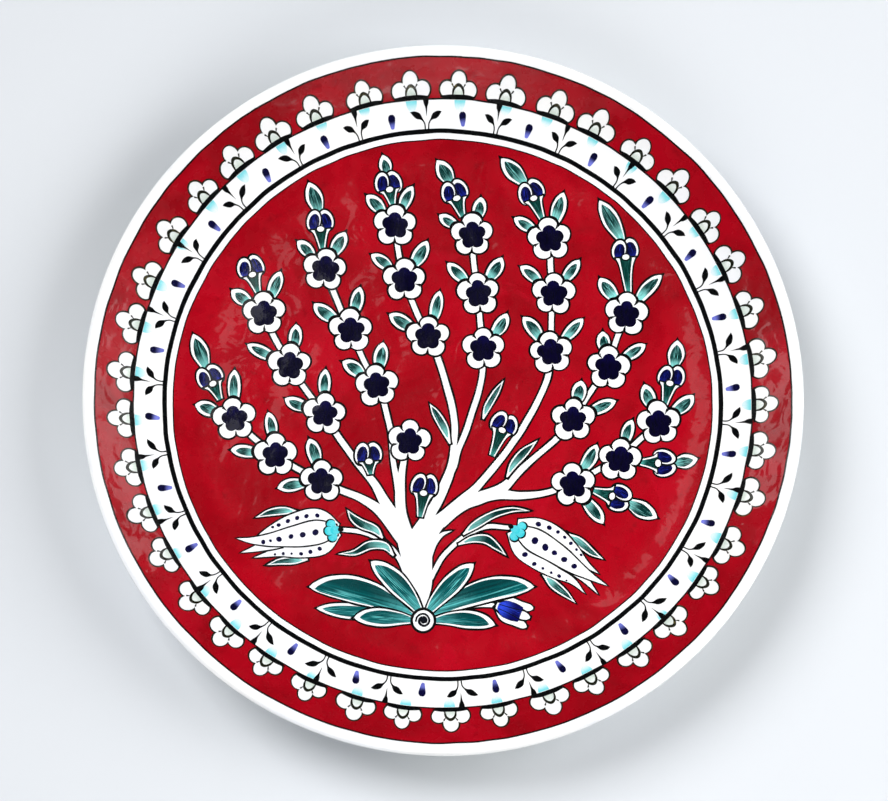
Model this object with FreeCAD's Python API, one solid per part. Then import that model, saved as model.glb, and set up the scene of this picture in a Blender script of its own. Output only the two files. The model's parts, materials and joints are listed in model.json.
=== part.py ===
"""Hand painted ceramic plate: a thrown dish lying on its foot ring, with raised red, line work and colour.

The frame: origin at the centre of the foot ring's resting plane, +Z up out of the dish, +Y towards the
top of the painted tree. Millimetres. Every colour is a thin deposit that follows the dish's surface.
"""
import FreeCAD, Part
import os
from math import atan2, cos, degrees, hypot, pi, radians, sin, sqrt

V = FreeCAD.Vector
os.makedirs("parts", exist_ok=True)

# ---- driving dimensions: the dish ----
RIM_R = 150.0            # outer radius of the plate
WALL = 4.4               # thickness of the fired clay wall
FLOOR_R = 100.0          # radius of the flat floor
FLOOR_Z = 11.5           # height of the floor's clay surface above the table
BEND_R = 60.0            # radius of the curve from the floor up to the rim
SLOPE = radians(34.0)    # slope of the rim
FOOT_OUT, FOOT_IN = 88.0, 81.0   # foot ring radii at the table
FOOT_DRAFT = 1.5         # how much wider the foot ring is where it meets the dish
FOOT_ROUND = 1.0         # rounding of the foot's two lower edges
BASE_Z = 6.0             # underside of the clay inside the foot ring

# ---- driving dimensions: the layers on the clay ----
SLIP = 0.4               # white slip with its clear glaze
BACK_GLAZE = 0.3         # glaze on the back, wiped off the foot
RED = 0.25               # thick red, standing proud of the slip
COLOUR = 0.12            # cobalt, green, turquoise and black
LINE = 0.8               # width of a drawn contour line
MARGIN = 0.95            # white left between a contour line and the colour inside it
SPECK = 0.6              # painted patches smaller than this, in square millimetres, are left out

# ---- driving dimensions: the rings, as radii ----
FIELD_R = 112.5          # red centre field
FIELD_LINE_R = 113.0     # fine line round the field
BAND_IN, BAND_IN_W = 116.3, 1.9      # heavy ring inside the white band
BAND_OUT, BAND_OUT_W = 129.2, 0.7    # ring outside the white band
BORDER_R = 144.6         # outer edge of the red border
RIM_LINE_R = 145.2       # fine line round the border

# ---- driving dimensions: the repeated motifs ----
FLOWERS, FLOWER_START = 41, 87.2     # border flowers, and the first one's bearing in degrees
SPRIGS, SPRIG_START = 26, 93.3       # leaf sprigs in the band, with a cobalt drop after each
PETALS = 5
PETAL_OUT, PETAL_R = 5.15, 3.75      # petal centres' distance from a blossom's centre, and their radius
HEART_OUT, HEART_R = 3.1, 2.6        # the same for the cobalt heart
LEAF_W = 5.3                         # width of a leaf beside a blossom, white margin included
TWIG_W = 2.3                         # width of the twig between two blossoms
ROSETTE, ROSETTE_R = (-8.0, -91.5), 4.4

# A border flower's lobes: height above the ring it stands on, sideways offset, half length, half width.
FLOWER_TOP = (6.7, 0.0, 3.6, 3.15)
FLOWER_SIDE = (3.1, 4.7, 3.2, 3.2)
FLOWER_MIDDLE = (2.2, 0.0, 3.0, 2.6)
FLOWER_LEAN = 0.45                   # how far a side lobe leans out, in radians
BAR_H, BAR_HALF_W = 1.2, 7.4         # the heavy bar under the flower
BAR_TAPER = 3.0                      # half height of the oval that rounds off the bar's ends
ARCH_OUT, ARCH_IN = (4.6, 2.5), (3.6, 1.6)      # height and half width of the arch and of the wash in it

# Strokes in the band, base first: height above the ring they start from, sideways offset, width.
SPRIG_LEAF = [(0, 0.6, 0.5), (2.4, 1.0, 0.5), (4.8, 3.0, 2.4), (6.6, 6.0, 0)]
SPRIG_SPIKE = [(0, 0, 2.4), (-2.0, 0, 1.5), (-6.4, 0, 0)]
DROP = [(7.0, 0, 1.6), (5.4, 0, 2.8), (1.6, 0, 0)]
WASH = (1.7, 1.6, 1.5)               # its distance in from the outer ring, half length and half width
WASH_CLEAR = 2.6                     # a wash nearer than this to a sprig's spike is left out

# Buds and tulips. A calyx and the green in it: how far up it, as a share, and the width there.
CALYX = ((0.0, 2.4), (0.45, 4.0), (0.8, 5.8), (1.0, 8.4))
CALYX_GREEN = ((0.0, 1.4), (0.45, 2.8), (0.8, 4.3), (1.0, 5.4))
CALYX_BELOW_TOP = 7.9                # how far the calyx stops below the top of the petals
PETAL_BELOW_TOP = 4.4                # the same for the middle of a petal
BUD_PETAL = (4.4, 2.85)              # half the length and half the width of a bud's petal
BUD_SPREAD, BUD_LEAN = 2.65, 0.23    # a petal's distance from the bud's axis, and its lean in, in radians
CUP_LOBE_R = 1.85                    # radius of the three turquoise lobes at a tulip's foot
CUP_LOBES = ((3.0, -2.6), (3.0, 2.6), (4.2, 0.0))
LEAF_START = 7.5                     # how far from a blossom's centre its leaves start
BUD_LEAF_START = 3.0                 # how far below the top of a bud's petals its last leaf starts
BARE_TIP = 2.2                       # white left at a leaf's tip
SMALL_HEART = (5.6, 4.6, 2.4)        # small tulip's green: distance from the foot, half length and half width
EYE, CURL_IN, CURL_OUT = 0.28, 0.5, 0.66        # radii inside the rosette, as shares of its own

# ---- the tree: each branch is its blossoms from the trunk outwards, each with the tips of its leaves ----
BRANCHES = [
    [((-50.5, -33), [(-69, -36), (-56, -15)]),
     ((-70, -22), [(-88.5, -20), (-73, -4)]),
     ((-87, -7), [(-103.5, -1), (-87, 14)])],
    [((-49.5, -4.5), [(-66, 2), (-49, 14.5)]),
     ((-64, 16), [(-82, 25), (-61.5, 33.5)]),
     ((-75, 38), [(-88.5, 48), (-68, 56)])],
    [((-27.5, 7.5), [(-42, 17.5), (-25, 26)]),
     ((-38.5, 31), [(-54, 42.5), (-34.5, 49.5)]),
     ((-49.5, 57), [(-61, 69), (-41, 73)])],
    [((-6, 28.5), [(-22.5, 38), (-1, 48)]),
     ((-16, 52.5), [(-30, 63.5), (-6.5, 69.5)]),
     ((-20, 76), [(-32, 89), (-12.5, 93)])],
    [((17, 23.5), [(27, 38.5)]),
     ((15, 47), [(2, 60), (25, 62.5)]),
     ((12.5, 72), [(-1.5, 80.5), (16, 88.5)])],
    [((45.5, 22), [(33.5, 37), (59, 36.5)]),
     ((46.5, 47), [(32.5, 58.5), (57.5, 61.5)]),
     ((45, 70.5), [(30, 79.5), (51, 90.5)])],
    [((54.5, -6.5), [(58, 10), (72.5, 1.5)]),
     ((69.5, 15.5), [(67, 31), (85, 25.5)]),
     ((77, 38.5), [(66, 54), (92, 55)])],
    [((54.5, -34), [(64.5, -17), (67, -50.5)]),
     ((74, -23.5), [(79.5, -6.5)]),
     ((90.5, -8), [(84.5, 8.5), (105, 4)])],
    [((-14, -16), [])],
]

# Buds: where the green calyx starts, the top of the two petals, and the tip of the leaf above, if any.
BUDS = [
    ((-93, 1.5), (-99.5, 15), (-104.5, 29)),
    ((-77.5, 47), (-82, 62), None),
    ((-50.5, 66), (-52, 82), (-56.5, 94)),
    ((-21, 85), (-24, 99), (-25.5, 106)),
    ((8.5, 80), (3.5, 95), (-2.5, 104)),
    ((42, 79), (35.5, 95), (24.5, 105)),
    ((78, 47), (76.5, 70.5), (66, 87)),
    ((93, 0), (97, 16.5), (98.5, 27.5)),
    ((82.5, -24.5), (97.5, -25), (106.5, -23)),
    ((63, -36.5), (78, -41), (89.5, -48)),
    ((-30, -30), (-31.5, -17), None),
    ((-9.5, -48), (-7, -30.5), None),
    ((20.5, -22), (27.5, -4), None),
]

# Limbs: centre-line points with the full width of the white at each.
LIMBS = [
    [(-8.2, -86, 3), (-9.3, -78, 9.5), (-10.3, -70, 11.8), (-11.3, -62, 13.5), (-12, -57, 14)],
    [(-12, -62, 8), (-15, -57, 8.5), (-19.9, -51.5, 7), (-26.8, -44.6, 4.2), (-34.7, -39.8, 3),
     (-42, -37, 2.6), (-48, -34, 2.4)],
    [(-15, -58, 7), (-18.9, -52, 7), (-21.5, -46.2, 5), (-25.2, -39.8, 4), (-29.4, -32.8, 3.2),
     (-36.3, -24.3, 2.6), (-43.2, -14.6, 2.4), (-48, -7.5, 2.2)],
    [(-14.5, -60, 8), (-16.2, -53, 6), (-17.4, -46, 4.2), (-17.7, -38, 4), (-17.2, -31, 3),
     (-16.2, -24.5, 2.4), (-15, -18, 2.2)],
    [(-17.9, -40, 3), (-19.2, -32, 2.4), (-20.6, -24, 2), (-22.2, -10, 2.2), (-25, 2, 2.2), (-27, 6, 2.2)],
    [(-12.5, -62, 8), (-10.2, -55.5, 6.5), (-5.7, -47.2, 4.6), (-2, -40.8, 4.2), (1.7, -32.3, 4),
     (3.7, -25.5, 3.2), (4.6, -18, 2.6), (4.9, -8, 2.6), (2.5, 5, 2.6), (-2, 19.5, 2.4), (-5, 26.5, 2.4)],
    [(1.5, -32, 3.4), (4.4, -26, 3), (6.2, -20.5, 2.5), (8.8, -14, 2.4), (13.5, 0, 2.4), (16.3, 10, 2.3),
     (17, 19, 2.2)],
    [(-10, -63, 8), (-7.3, -57, 8.5), (-3.6, -51.8, 7), (1.2, -47.5, 5.4), (8.4, -41.3, 5),
     (14.4, -35.4, 3.2), (21.3, -26.9, 2.8), (28.7, -17.3, 2.6), (37, -4, 2.5), (43.5, 10, 2.4),
     (45, 17, 2.4)],
    [(-1, -50.5, 5), (5, -45, 5), (10, -41.8, 5), (16, -39.8, 5), (23.4, -36.8, 4.4), (29.8, -31.2, 3),
     (37.2, -23.7, 2.4), (47.8, -14.4, 2.2), (52, -9.5, 2.2)],
    [(17, -39.8, 4), (24, -38.3, 4), (31.9, -38.8, 3), (38, -38.4, 2.6), (44.6, -37.1, 2.3),
     (50, -35.3, 2.2)],
    [(-6, -66, 2.4), (-3.6, -59.5, 2), (-0.5, -55.5, 1.6), (4, -53.8, 0)],
]

# Slender leaves with their own course: centre-line points and full widths, base first.
SLIM_LEAVES = [
    [(3, -17, 0.6), (0.5, -10, 3.6), (-3, -4, 3), (-5.5, 0, 0)],
    [(17, -6.5, 0.6), (19, -1, 3), (22.5, 5, 2.6), (25.5, 10, 0)],
    [(26.8, -31, 0.6), (29.5, -26, 3.2), (34, -20.5, 3.6), (39.8, -15, 0)],
    [(-25, -57, 0.6), (-28.4, -53.3, 3.4), (-33.7, -51, 4), (-37.4, -48.3, 3), (-40, -44.9, 0)],
    [(-20.5, -64.4, 0.6), (-24.2, -60.3, 3.2), (-30.5, -60.1, 3.6), (-36.9, -63.1, 2.4), (-43.7, -63.8, 0)],
    [(8.6, -55.3, 0.6), (13.9, -51, 3.2), (21.3, -46.9, 3), (28.7, -44.7, 2.2), (36.6, -45.1, 0)],
    [(6.5, -59.5, 0.6), (12.9, -57.1, 3), (18.1, -57.3, 3.8), (22.4, -60.3, 2.8), (26.4, -64.1, 0)],
    [(-60.5, -46, 0.6), (-66, -45.5, 3.2), (-72, -46.5, 2.8), (-78, -48.5, 0)],
    [(-56, -66, 0.6), (-62, -66.5, 3), (-68, -67, 2.6), (-73.5, -68.5, 0)],
    [(51.5, -54.5, 0.6), (56.5, -58, 3.6), (62, -62.5, 2.8), (67, -65.5, 0)],
    [(41.5, -72, 0.6), (46, -76, 3.6), (51, -80, 2.8), (55.5, -84, 0)],
]

# Stems of the two tulips and of the small one, centre-line points and full widths.
STEMS = [
    [(-15, -73, 1.9), (-17.8, -66.5, 1.9), (-21.5, -61.1, 1.9), (-27.3, -56.9, 1.9), (-34.7, -54.2, 1.8),
     (-43.2, -53.4, 1.6)],
    [(-5, -74, 1.9), (-3.5, -70.8, 1.9), (0.2, -64.4, 1.9), (5.5, -59, 1.9), (12.9, -53.7, 1.9),
     (19.2, -51.9, 1.8), (28, -52.2, 1.6)],
    [(3, -86.5, 2), (8.6, -85.4, 2), (16, -84.8, 1.9), (22.5, -85.2, 1.6)],
]

# Big leaves round the rosette: base, a point on the spine, tip and width.
BASE_LEAVES = [
    ((-16, -89.5), (-34, -88), (-52.5, -86.6), 6.5),
    ((-12, -90), (-33, -79.5), (-55.6, -77.4), 11.0),
    ((-12, -91.5), (-24, -90.3), (-36.8, -90.5), 7.6),
    ((-9, -88.5), (-18.5, -76.5), (-30, -66.7), 8.6),
    ((-4, -89.5), (17, -79), (38.2, -77.2), 10.0),
    ((-4, -91.5), (8, -90.8), (21.8, -93.2), 7.4),
    ((-6.5, -88.5), (2.5, -77.5), (12.9, -67.6), 8.0),
]

# Tulips: foot, bearing in degrees, then each petal's line in the flower's own (along, side, width),
# then each row of dots as (along, side, radius). A petal in front comes after those behind it.
TULIPS = [
    ((-43, -53.5), 187.0,
     [[(0.5, -1, 3), (8, -5.5, 8), (18, -5.8, 6.5), (27, -3.8, 3.6), (35.5, -0.5, 0)],
      [(0.5, 1, 3), (8, 5.5, 8), (18, 6.3, 6.2), (27, 6.2, 3.4), (37, 7.5, 0)],
      [(25, 2, 5), (34, 3.4, 3), (42, 4.8, 0)],
      [(1, 0, 4), (9, 0, 9.5), (20, 0.5, 8), (30, 0.8, 4.6), (37, 0, 2.4), (43, -1.5, 0)]],
     [[(10, 0, 1.3), (15.5, 0.2, 1.2), (20.5, 0.4, 1.0), (25.5, 1, 1.1), (29, 1.2, 0.6), (32, 1.4, 0.9)],
      [(8.5, -7, 0.9), (13, -7.2, 0.9), (17, -7, 0.9), (21, -6.2, 0.9), (25, -5, 0.8), (27.5, -4.4, 0.6)],
      [(9, 7, 0.9), (13, 7.8, 0.9), (17, 8, 0.8), (21, 7.6, 0.5), (24.5, 7.2, 0.7), (28, 7, 0.5)]]),
    ((29, -52), 323.0,
     [[(1, -1.5, 4), (8, -4.8, 7), (16, -5.5, 6.5), (25, -4.8, 4.8), (33, -3.2, 2.6), (41, -4, 0)],
      [(1, 2.5, 4), (8, 6.5, 6.5), (17, 8.6, 6), (26, 7.8, 4), (34, 6, 2.4), (40.5, 6, 0)],
      [(29, 1.4, 5), (38, 0.4, 2.4), (45.5, -1, 0)],
      [(2, 0.5, 4), (10, 1, 9), (20, 2, 8.5), (30, 2.2, 6), (38, 2.8, 3), (46.5, 4.2, 0)]],
     [[(11, 1, 1.4), (16, 1.4, 1.4), (20.5, 1.9, 1.1), (25.5, 2, 1.2), (30.5, 2.2, 1.1)],
      [(8, 7.5, 1.1), (12.5, 9, 1.0), (16.5, 9.8, 0.8), (20, 9.8, 0.7), (23.5, 9.2, 0.8), (27, 8.4, 0.6)],
      [(11, -6, 1.1), (16.5, -7, 0.9), (20.5, -6.4, 0.6), (24.5, -5.8, 0.6), (28, -4.8, 0.8)]]),
]
SMALL_TULIP = ((22.5, -85.2), 14.6, 10.5, 340.0)     # foot, length, width and bearing


# ---- plane geometry ----
AXIS = (0, 0)


def at(foot, bearing, along, side):
    """The point that lies along and to the left of a line leaving foot at bearing, in radians."""
    c, s = cos(bearing), sin(bearing)
    return (foot[0] + along * c - side * s, foot[1] + along * s + side * c)


def vec(p):
    return V(p[0], p[1], 0)


def span(a, b):
    """The bearing and the length of the line from a to b."""
    return atan2(b[1] - a[1], b[0] - a[0]), hypot(b[0] - a[0], b[1] - a[1])


def face(edges):
    return Part.Face(Part.Wire(edges))


def disc(centre, radius):
    return face([Part.Circle(vec(centre), V(0, 0, 1), radius).toShape()])


def ring(inner, outer):
    return disc(AXIS, outer).cut(disc(AXIS, inner))


def curve(points):
    spline = Part.BSplineCurve()
    spline.interpolate([vec(p) for p in points])
    return spline.toShape()


def line(a, b):
    return Part.makeLine(vec(a), vec(b))


def oval(centre, bearing, half_length, half_width):
    """An ellipse whose long axis has the given bearing."""
    if half_width > half_length:
        half_length, half_width, bearing = half_width, half_length, bearing + pi / 2
    shape = Part.Ellipse(V(0, 0, 0), half_length, half_width).toShape()
    shape.rotate(V(0, 0, 0), V(0, 0, 1), degrees(bearing))
    shape.translate(vec(centre))
    return face([shape])


def lobed(centre, turn, lobes, distance, radius):
    """A flower outline: lobes equal circles about centre, joined where neighbours cross."""
    half = pi / lobes
    notch = distance * cos(half) + sqrt(radius ** 2 - (distance * sin(half)) ** 2)
    edges = []
    for i in range(lobes):
        a = turn + 2 * half * i
        start, top, end = (at(centre, a - half, notch, 0), at(centre, a, distance + radius, 0),
                           at(centre, a + half, notch, 0))
        edges.append(Part.Arc(vec(start), vec(top), vec(end)).toShape())
    return face(edges)


def ribbon(points, grow=0.0):
    """A strip of varying width along a smooth line; a width of zero makes a pointed end."""
    left, right = [], []
    last = len(points) - 1
    for i, (x, y, width) in enumerate(points):
        before, after = points[max(i - 1, 0)], points[min(i + 1, last)]
        bearing = atan2(after[1] - before[1], after[0] - before[0])
        if i == last and width == 0:
            tip = at((x, y), bearing, 1.8 * grow, 0)
            return face([curve(left + [tip]), curve([tip] + right[::-1]), line(right[0], left[0])])
        slide = -grow if i == 0 else grow if i == last else 0.0
        left.append(at((x, y), bearing, slide, width / 2 + grow))
        right.append(at((x, y), bearing, slide, -width / 2 - grow))
    return face([curve(left), line(left[-1], right[-1]), curve(right[::-1]), line(right[0], left[0])])


BLOSSOM_LEAF = ((0.0, 0.6), (0.25, 0.9), (0.5, 1.0), (0.8, 0.72), (1.0, 0.0))
BUD_LEAF = ((0.0, 0.15), (0.25, 0.62), (0.55, 1.0), (0.82, 0.68), (1.0, 0.0))
BASE_LEAF = ((0.0, 0.3), (0.25, 0.72), (0.55, 1.0), (0.82, 0.74), (1.0, 0.0))


def leaf(base, tip, width, form, bow=0.0, grow=0.0):
    """A leaf blade between two points; form is its width, as a share, along its length."""
    bearing, length = span(base, tip)
    rows = [at(base, bearing, t * length, bow * 4 * t * (1 - t)) + (share * width,) for t, share in form]
    return ribbon(rows, grow)


def leaf_motif(kinds, base, tip, width, form, bow=0.0):
    """A leaf with its green, which stops a little short of the tip."""
    end = at(tip, span(base, tip)[0], -BARE_TIP, 0)
    fill = leaf(base, end, width - 2 * MARGIN, form, bow)
    return Motif(kinds[0], lambda grow: leaf(base, tip, width, form, bow, grow), [(kinds[1], fill)])


def fused(shapes):
    faces = [f for shape in shapes for f in shape.Faces]
    return faces[0].multiFuse(faces[1:]).removeSplitter() if len(faces) > 1 else faces[0]


def minus(shape, others):
    """shape with the others cut out, trying only those whose boxes reach it."""
    box = shape.BoundBox
    near = [o for o in others if o.BoundBox.intersect(box)]
    return shape.cut(near) if near else shape


# ---- the dish's surface ----
BEND_AT = (FLOOR_R, FLOOR_Z + BEND_R)
LIP_R = WALL / 2


def on_bend(radius, angle):
    return V(BEND_AT[0] + radius * sin(angle), 0, BEND_AT[1] - radius * cos(angle))


def lip_centre():
    middle = on_bend(BEND_R + LIP_R, SLOPE)
    run = (RIM_R - LIP_R - SLIP - middle.x) / cos(SLOPE)
    return middle + V(run * cos(SLOPE), 0, run * sin(SLOPE))


def on_lip(height, side):
    """A point at height above the clay at the lip: side 1 on the face, 0 at the tip, -1 on the back."""
    reach = LIP_R + height
    outward, normal = V(cos(SLOPE), 0, sin(SLOPE)), V(-sin(SLOPE), 0, cos(SLOPE))
    return lip_centre() + (outward if side == 0 else normal * side) * reach


def face_curve(height):
    """The profile of the dish's face at a height above the clay, from the axis to the lip."""
    radius = BEND_R - height
    start, floor_end = V(0, 0, FLOOR_Z + height), on_bend(radius, 0)
    bend_end = on_bend(radius, SLOPE)
    return [Part.makeLine(start, floor_end),
            Part.Arc(floor_end, on_bend(radius, SLOPE / 2), bend_end).toShape(),
            Part.makeLine(bend_end, on_lip(height, 1))]


def lip_curve(height):
    return [Part.Arc(on_lip(height, 1), on_lip(height, 0), on_lip(height, -1)).toShape()]


def back_curve(height):
    """The profile of the back at a height off the clay, from the lip in to the foot ring."""
    radius = BEND_R + WALL + height
    bend_end, floor_end = on_bend(radius, SLOPE), on_bend(radius, 0)
    foot = V(FOOT_OUT + FOOT_DRAFT, 0, floor_end.z)
    return [Part.makeLine(on_lip(height, -1), bend_end),
            Part.Arc(bend_end, on_bend(radius, SLOPE / 2), floor_end).toShape(),
            Part.makeLine(floor_end, foot)]


def ends(edges):
    """The first and last corners of a chain of edges laid head to tail."""
    return edges[0].Vertexes[0].Point, edges[-1].Vertexes[-1].Point


def turned(edges):
    """The solid turned about the axis from a closed profile."""
    profile = Part.Face(Part.Wire(Part.__sortEdges__(edges)))
    return profile.revolve(V(0, 0, 0), V(0, 0, 1), 360)


def between(lower, upper):
    """The solid turned from the gap between two profile curves."""
    (a, b), (c, d) = ends(lower), ends(upper)
    return turned(lower + upper + [Part.makeLine(a, c), Part.makeLine(b, d)])


def clay_body():
    top = face_curve(0) + lip_curve(0) + back_curve(0)
    under = ends(top)[1]
    foot = [under, V(FOOT_OUT, 0, 0), V(FOOT_IN, 0, 0), V(FOOT_IN - FOOT_DRAFT, 0, BASE_Z),
            V(0, 0, BASE_Z), V(0, 0, FLOOR_Z)]
    body = turned(top + [Part.makeLine(a, b) for a, b in zip(foot, foot[1:])])
    lowest = [e for e in body.Edges if e.BoundBox.ZMax < 0.01 and e.BoundBox.XLength > FOOT_IN]
    return body.makeFillet(FOOT_ROUND, lowest)


def back_skin():
    """Glaze over the back in two fields: outside the foot ring and inside it."""
    outside = between(back_curve(0), back_curve(BACK_GLAZE))
    inside = Part.makeCylinder(FOOT_IN - FOOT_DRAFT - 0.5, BACK_GLAZE, V(0, 0, BASE_Z - BACK_GLAZE))
    foot_wall = Part.makeCylinder(FOOT_OUT + FOOT_DRAFT, FLOOR_Z)
    return Part.makeCompound([outside.cut(foot_wall), inside])


def coat(bottom, top):
    """The layer that lies between two heights above the clay, over the whole face."""
    return between(face_curve(bottom), face_curve(top))


RED_COAT = coat(SLIP, SLIP + RED)
COLOUR_COAT = coat(SLIP, SLIP + COLOUR)


def laid(pattern, layer=COLOUR_COAT, thickness=COLOUR):
    """Turns a flat pattern into deposits that follow the dish, one for each patch bigger than a speck."""
    patches = [f for f in pattern.Faces if f.Area > SPECK]
    if not patches:
        return []
    shape = Part.makeCompound(patches)
    box = shape.BoundBox
    reach = max(hypot(x, y) for x in (box.XMin, box.XMax) for y in (box.YMin, box.YMax))
    if reach < FLOOR_R:
        low = shape.copy()
        low.translate(V(0, 0, FLOOR_Z + SLIP))
        return low.extrude(V(0, 0, thickness)).Solids
    return shape.extrude(V(0, 0, 2 * FLOOR_Z + BEND_R)).common(layer).Solids


def round_the_plate(solids, count):
    """The same solids repeated at equal steps round the axis."""
    out = []
    for i in range(count):
        for solid in solids:
            copy = solid.copy()
            copy.rotate(V(0, 0, 0), V(0, 0, 1), 360.0 * i / count)
            out.append(copy)
    return out


def save(node, solids):
    Part.makeCompound(solids).exportStep(os.path.join("parts", node + ".step"))


# ---- the painted rings ----
def make_rings():
    save("rim_line", laid(ring(BORDER_R, RIM_LINE_R)))
    save("band_outer_ring", laid(ring(BAND_OUT - BAND_OUT_W / 2, BAND_OUT + BAND_OUT_W / 2)))
    save("band_inner_ring", laid(ring(BAND_IN - BAND_IN_W / 2, BAND_IN + BAND_IN_W / 2)))
    save("field_line", laid(ring(FIELD_R, FIELD_LINE_R)))


# ---- the border flowers: three white lobes on a heavy bar, with a small arch ----
def border_flower(grow=0.0):
    bearing = radians(FLOWER_START)
    bottom = BAND_OUT + BAND_OUT_W / 2
    lobes = []
    for lobe, side in ((FLOWER_TOP, 0), (FLOWER_MIDDLE, 0), (FLOWER_SIDE, -1), (FLOWER_SIDE, 1)):
        height, offset, half_length, half_width = lobe
        centre = at(AXIS, bearing, bottom + height, offset * side)
        lobes.append(oval(centre, bearing - FLOWER_LEAN * side, half_length + grow, half_width + grow))
    return fused(lobes).cut(disc(AXIS, bottom - 0.01))


def make_border():
    bearing = radians(FLOWER_START)
    bottom = BAND_OUT + BAND_OUT_W / 2
    under_arch = disc(AXIS, bottom + BAR_H)
    bar_ends = oval(at(AXIS, bearing, bottom, 0), bearing, BAR_TAPER, BAR_HALF_W)
    bar = ring(bottom, bottom + BAR_H).common(bar_ends)
    whole, petals = border_flower(LINE), border_flower()
    foot = at(AXIS, bearing, bottom + BAR_H, 0)
    arch, wash = (oval(foot, bearing, *half_axes).cut(under_arch) for half_axes in (ARCH_OUT, ARCH_IN))
    save("border_flower_bars", round_the_plate(laid(bar), FLOWERS))
    save("border_flower_outlines", round_the_plate(laid(whole.cut([petals, bar])), FLOWERS))
    save("border_flower_arches", round_the_plate(laid(arch.cut(wash)), FLOWERS))
    save("border_flower_centres", round_the_plate(laid(wash), FLOWERS))
    windows = laid(fused([whole, bar]), coat(SLIP - 0.1, SLIP + 2 * RED))
    border = laid(ring(bottom, BORDER_R), RED_COAT)
    save("red_border", border[0].cut(round_the_plate(windows, FLOWERS)).Solids)


# ---- the white band: sprigs, cobalt drops and turquoise washes ----
def band_stroke(rows, radius, bearing, side=1):
    return ribbon([at(AXIS, bearing, radius + height, offset * side) + (width,)
                   for height, offset, width in rows])


def make_band():
    inner, outer = BAND_IN + BAND_IN_W / 2, BAND_OUT - BAND_OUT_W / 2
    bearing = radians(SPRIG_START)
    sprig = [band_stroke(SPRIG_LEAF, inner, bearing, side) for side in (-1, 1)]
    sprig.append(band_stroke(SPRIG_SPIKE, outer, bearing))
    save("band_sprigs", round_the_plate(laid(fused(sprig)), SPRIGS))
    drop = band_stroke(DROP, inner, bearing + pi / SPRIGS)
    save("band_cobalt_drops", round_the_plate(laid(drop), SPRIGS))
    bearing = radians(FLOWER_START)
    inset, half_length, half_width = WASH
    wash = oval(at(AXIS, bearing, outer - inset, 0), bearing, half_length, half_width)
    save("band_turquoise_washes", wash_copies(wash))


def wash_copies(wash):
    """A wash under every border flower, left out where a sprig's spike already is."""
    step, clear = 360.0 / SPRIGS, degrees(WASH_CLEAR / BAND_OUT)
    out = []
    for i in range(FLOWERS):
        turn = 360.0 * i / FLOWERS
        offset = (FLOWER_START + turn - SPRIG_START) % step
        if min(offset, step - offset) > clear:
            copy = wash.copy()
            copy.rotate(V(0, 0, 0), V(0, 0, 1), turn)
            out += laid(copy)
    return out


# ---- the painted tree ----
class Motif:
    """One painted shape: its drawn contour, the white inside it, and the colours laid on the white."""

    def __init__(self, kind, make, fills=()):
        self.outer = make(LINE)
        self.line = self.outer.cut(make(0.0))
        self.kind = kind
        self.fills = list(fills)


def blossom_motifs():
    out = []
    for branch in BRANCHES:
        for centre, _ in branch:
            heart = lobed(centre, pi / 2, PETALS, HEART_OUT, HEART_R)
            out.append(Motif("blossom_outlines",
                             lambda g, c=centre: lobed(c, pi / 2, PETALS, PETAL_OUT, PETAL_R + g),
                             [("blossom_hearts", heart)]))
    return out


def leaf_motifs():
    """The leaves that spread from the blossoms."""
    out = []
    for branch in BRANCHES:
        for centre, tips in branch:
            for tip in tips:
                base = at(centre, span(centre, tip)[0], LEAF_START, 0)
                out.append(leaf_motif(("leaf_outlines", "leaf_greens"), base, tip, LEAF_W, BLOSSOM_LEAF))
    return out


def bud_motifs():
    """Two cobalt petals rise from a flared green calyx; some carry a last leaf above."""
    out = []
    long, wide = BUD_PETAL
    for foot, top, tip in BUDS:
        bearing, length = span(foot, top)
        if tip:
            base = at(foot, bearing, length - BUD_LEAF_START, 0)
            width = min(7.0, 0.42 * span(base, tip)[1] + 1.0)
            out.append(leaf_motif(("leaf_outlines", "leaf_greens"), base, tip, width, BUD_LEAF))
        for side in (-1, 1):
            centre = at(foot, bearing, length - PETAL_BELOW_TOP, BUD_SPREAD * side)
            lean = bearing - BUD_LEAN * side
            fill = oval(centre, lean, long - MARGIN, wide - 0.7 * MARGIN)
            out.append(Motif("bud_outlines", lambda g, c=centre, a=lean: oval(c, a, long + g, wide + g),
                             [("bud_petals", fill)]))
        rise = length - CALYX_BELOW_TOP
        cup, green = ([at(foot, bearing, share * rise, 0) + (width,) for share, width in form]
                      for form in (CALYX, CALYX_GREEN))
        out.append(Motif("bud_outlines", lambda g, c=cup: ribbon(c, g), [("bud_calyxes", ribbon(green))]))
    return out


def slim_motifs():
    out = []
    for points in SLIM_LEAVES:
        inner = [(x, y, w - 1.2 * MARGIN) for x, y, w in points[1:-1]]
        fill = ribbon([points[0]] + inner + [points[-1]])
        out.append(Motif("leaf_outlines", lambda g, p=points: ribbon(p, g), [("leaf_greens", fill)]))
    return out


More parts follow.
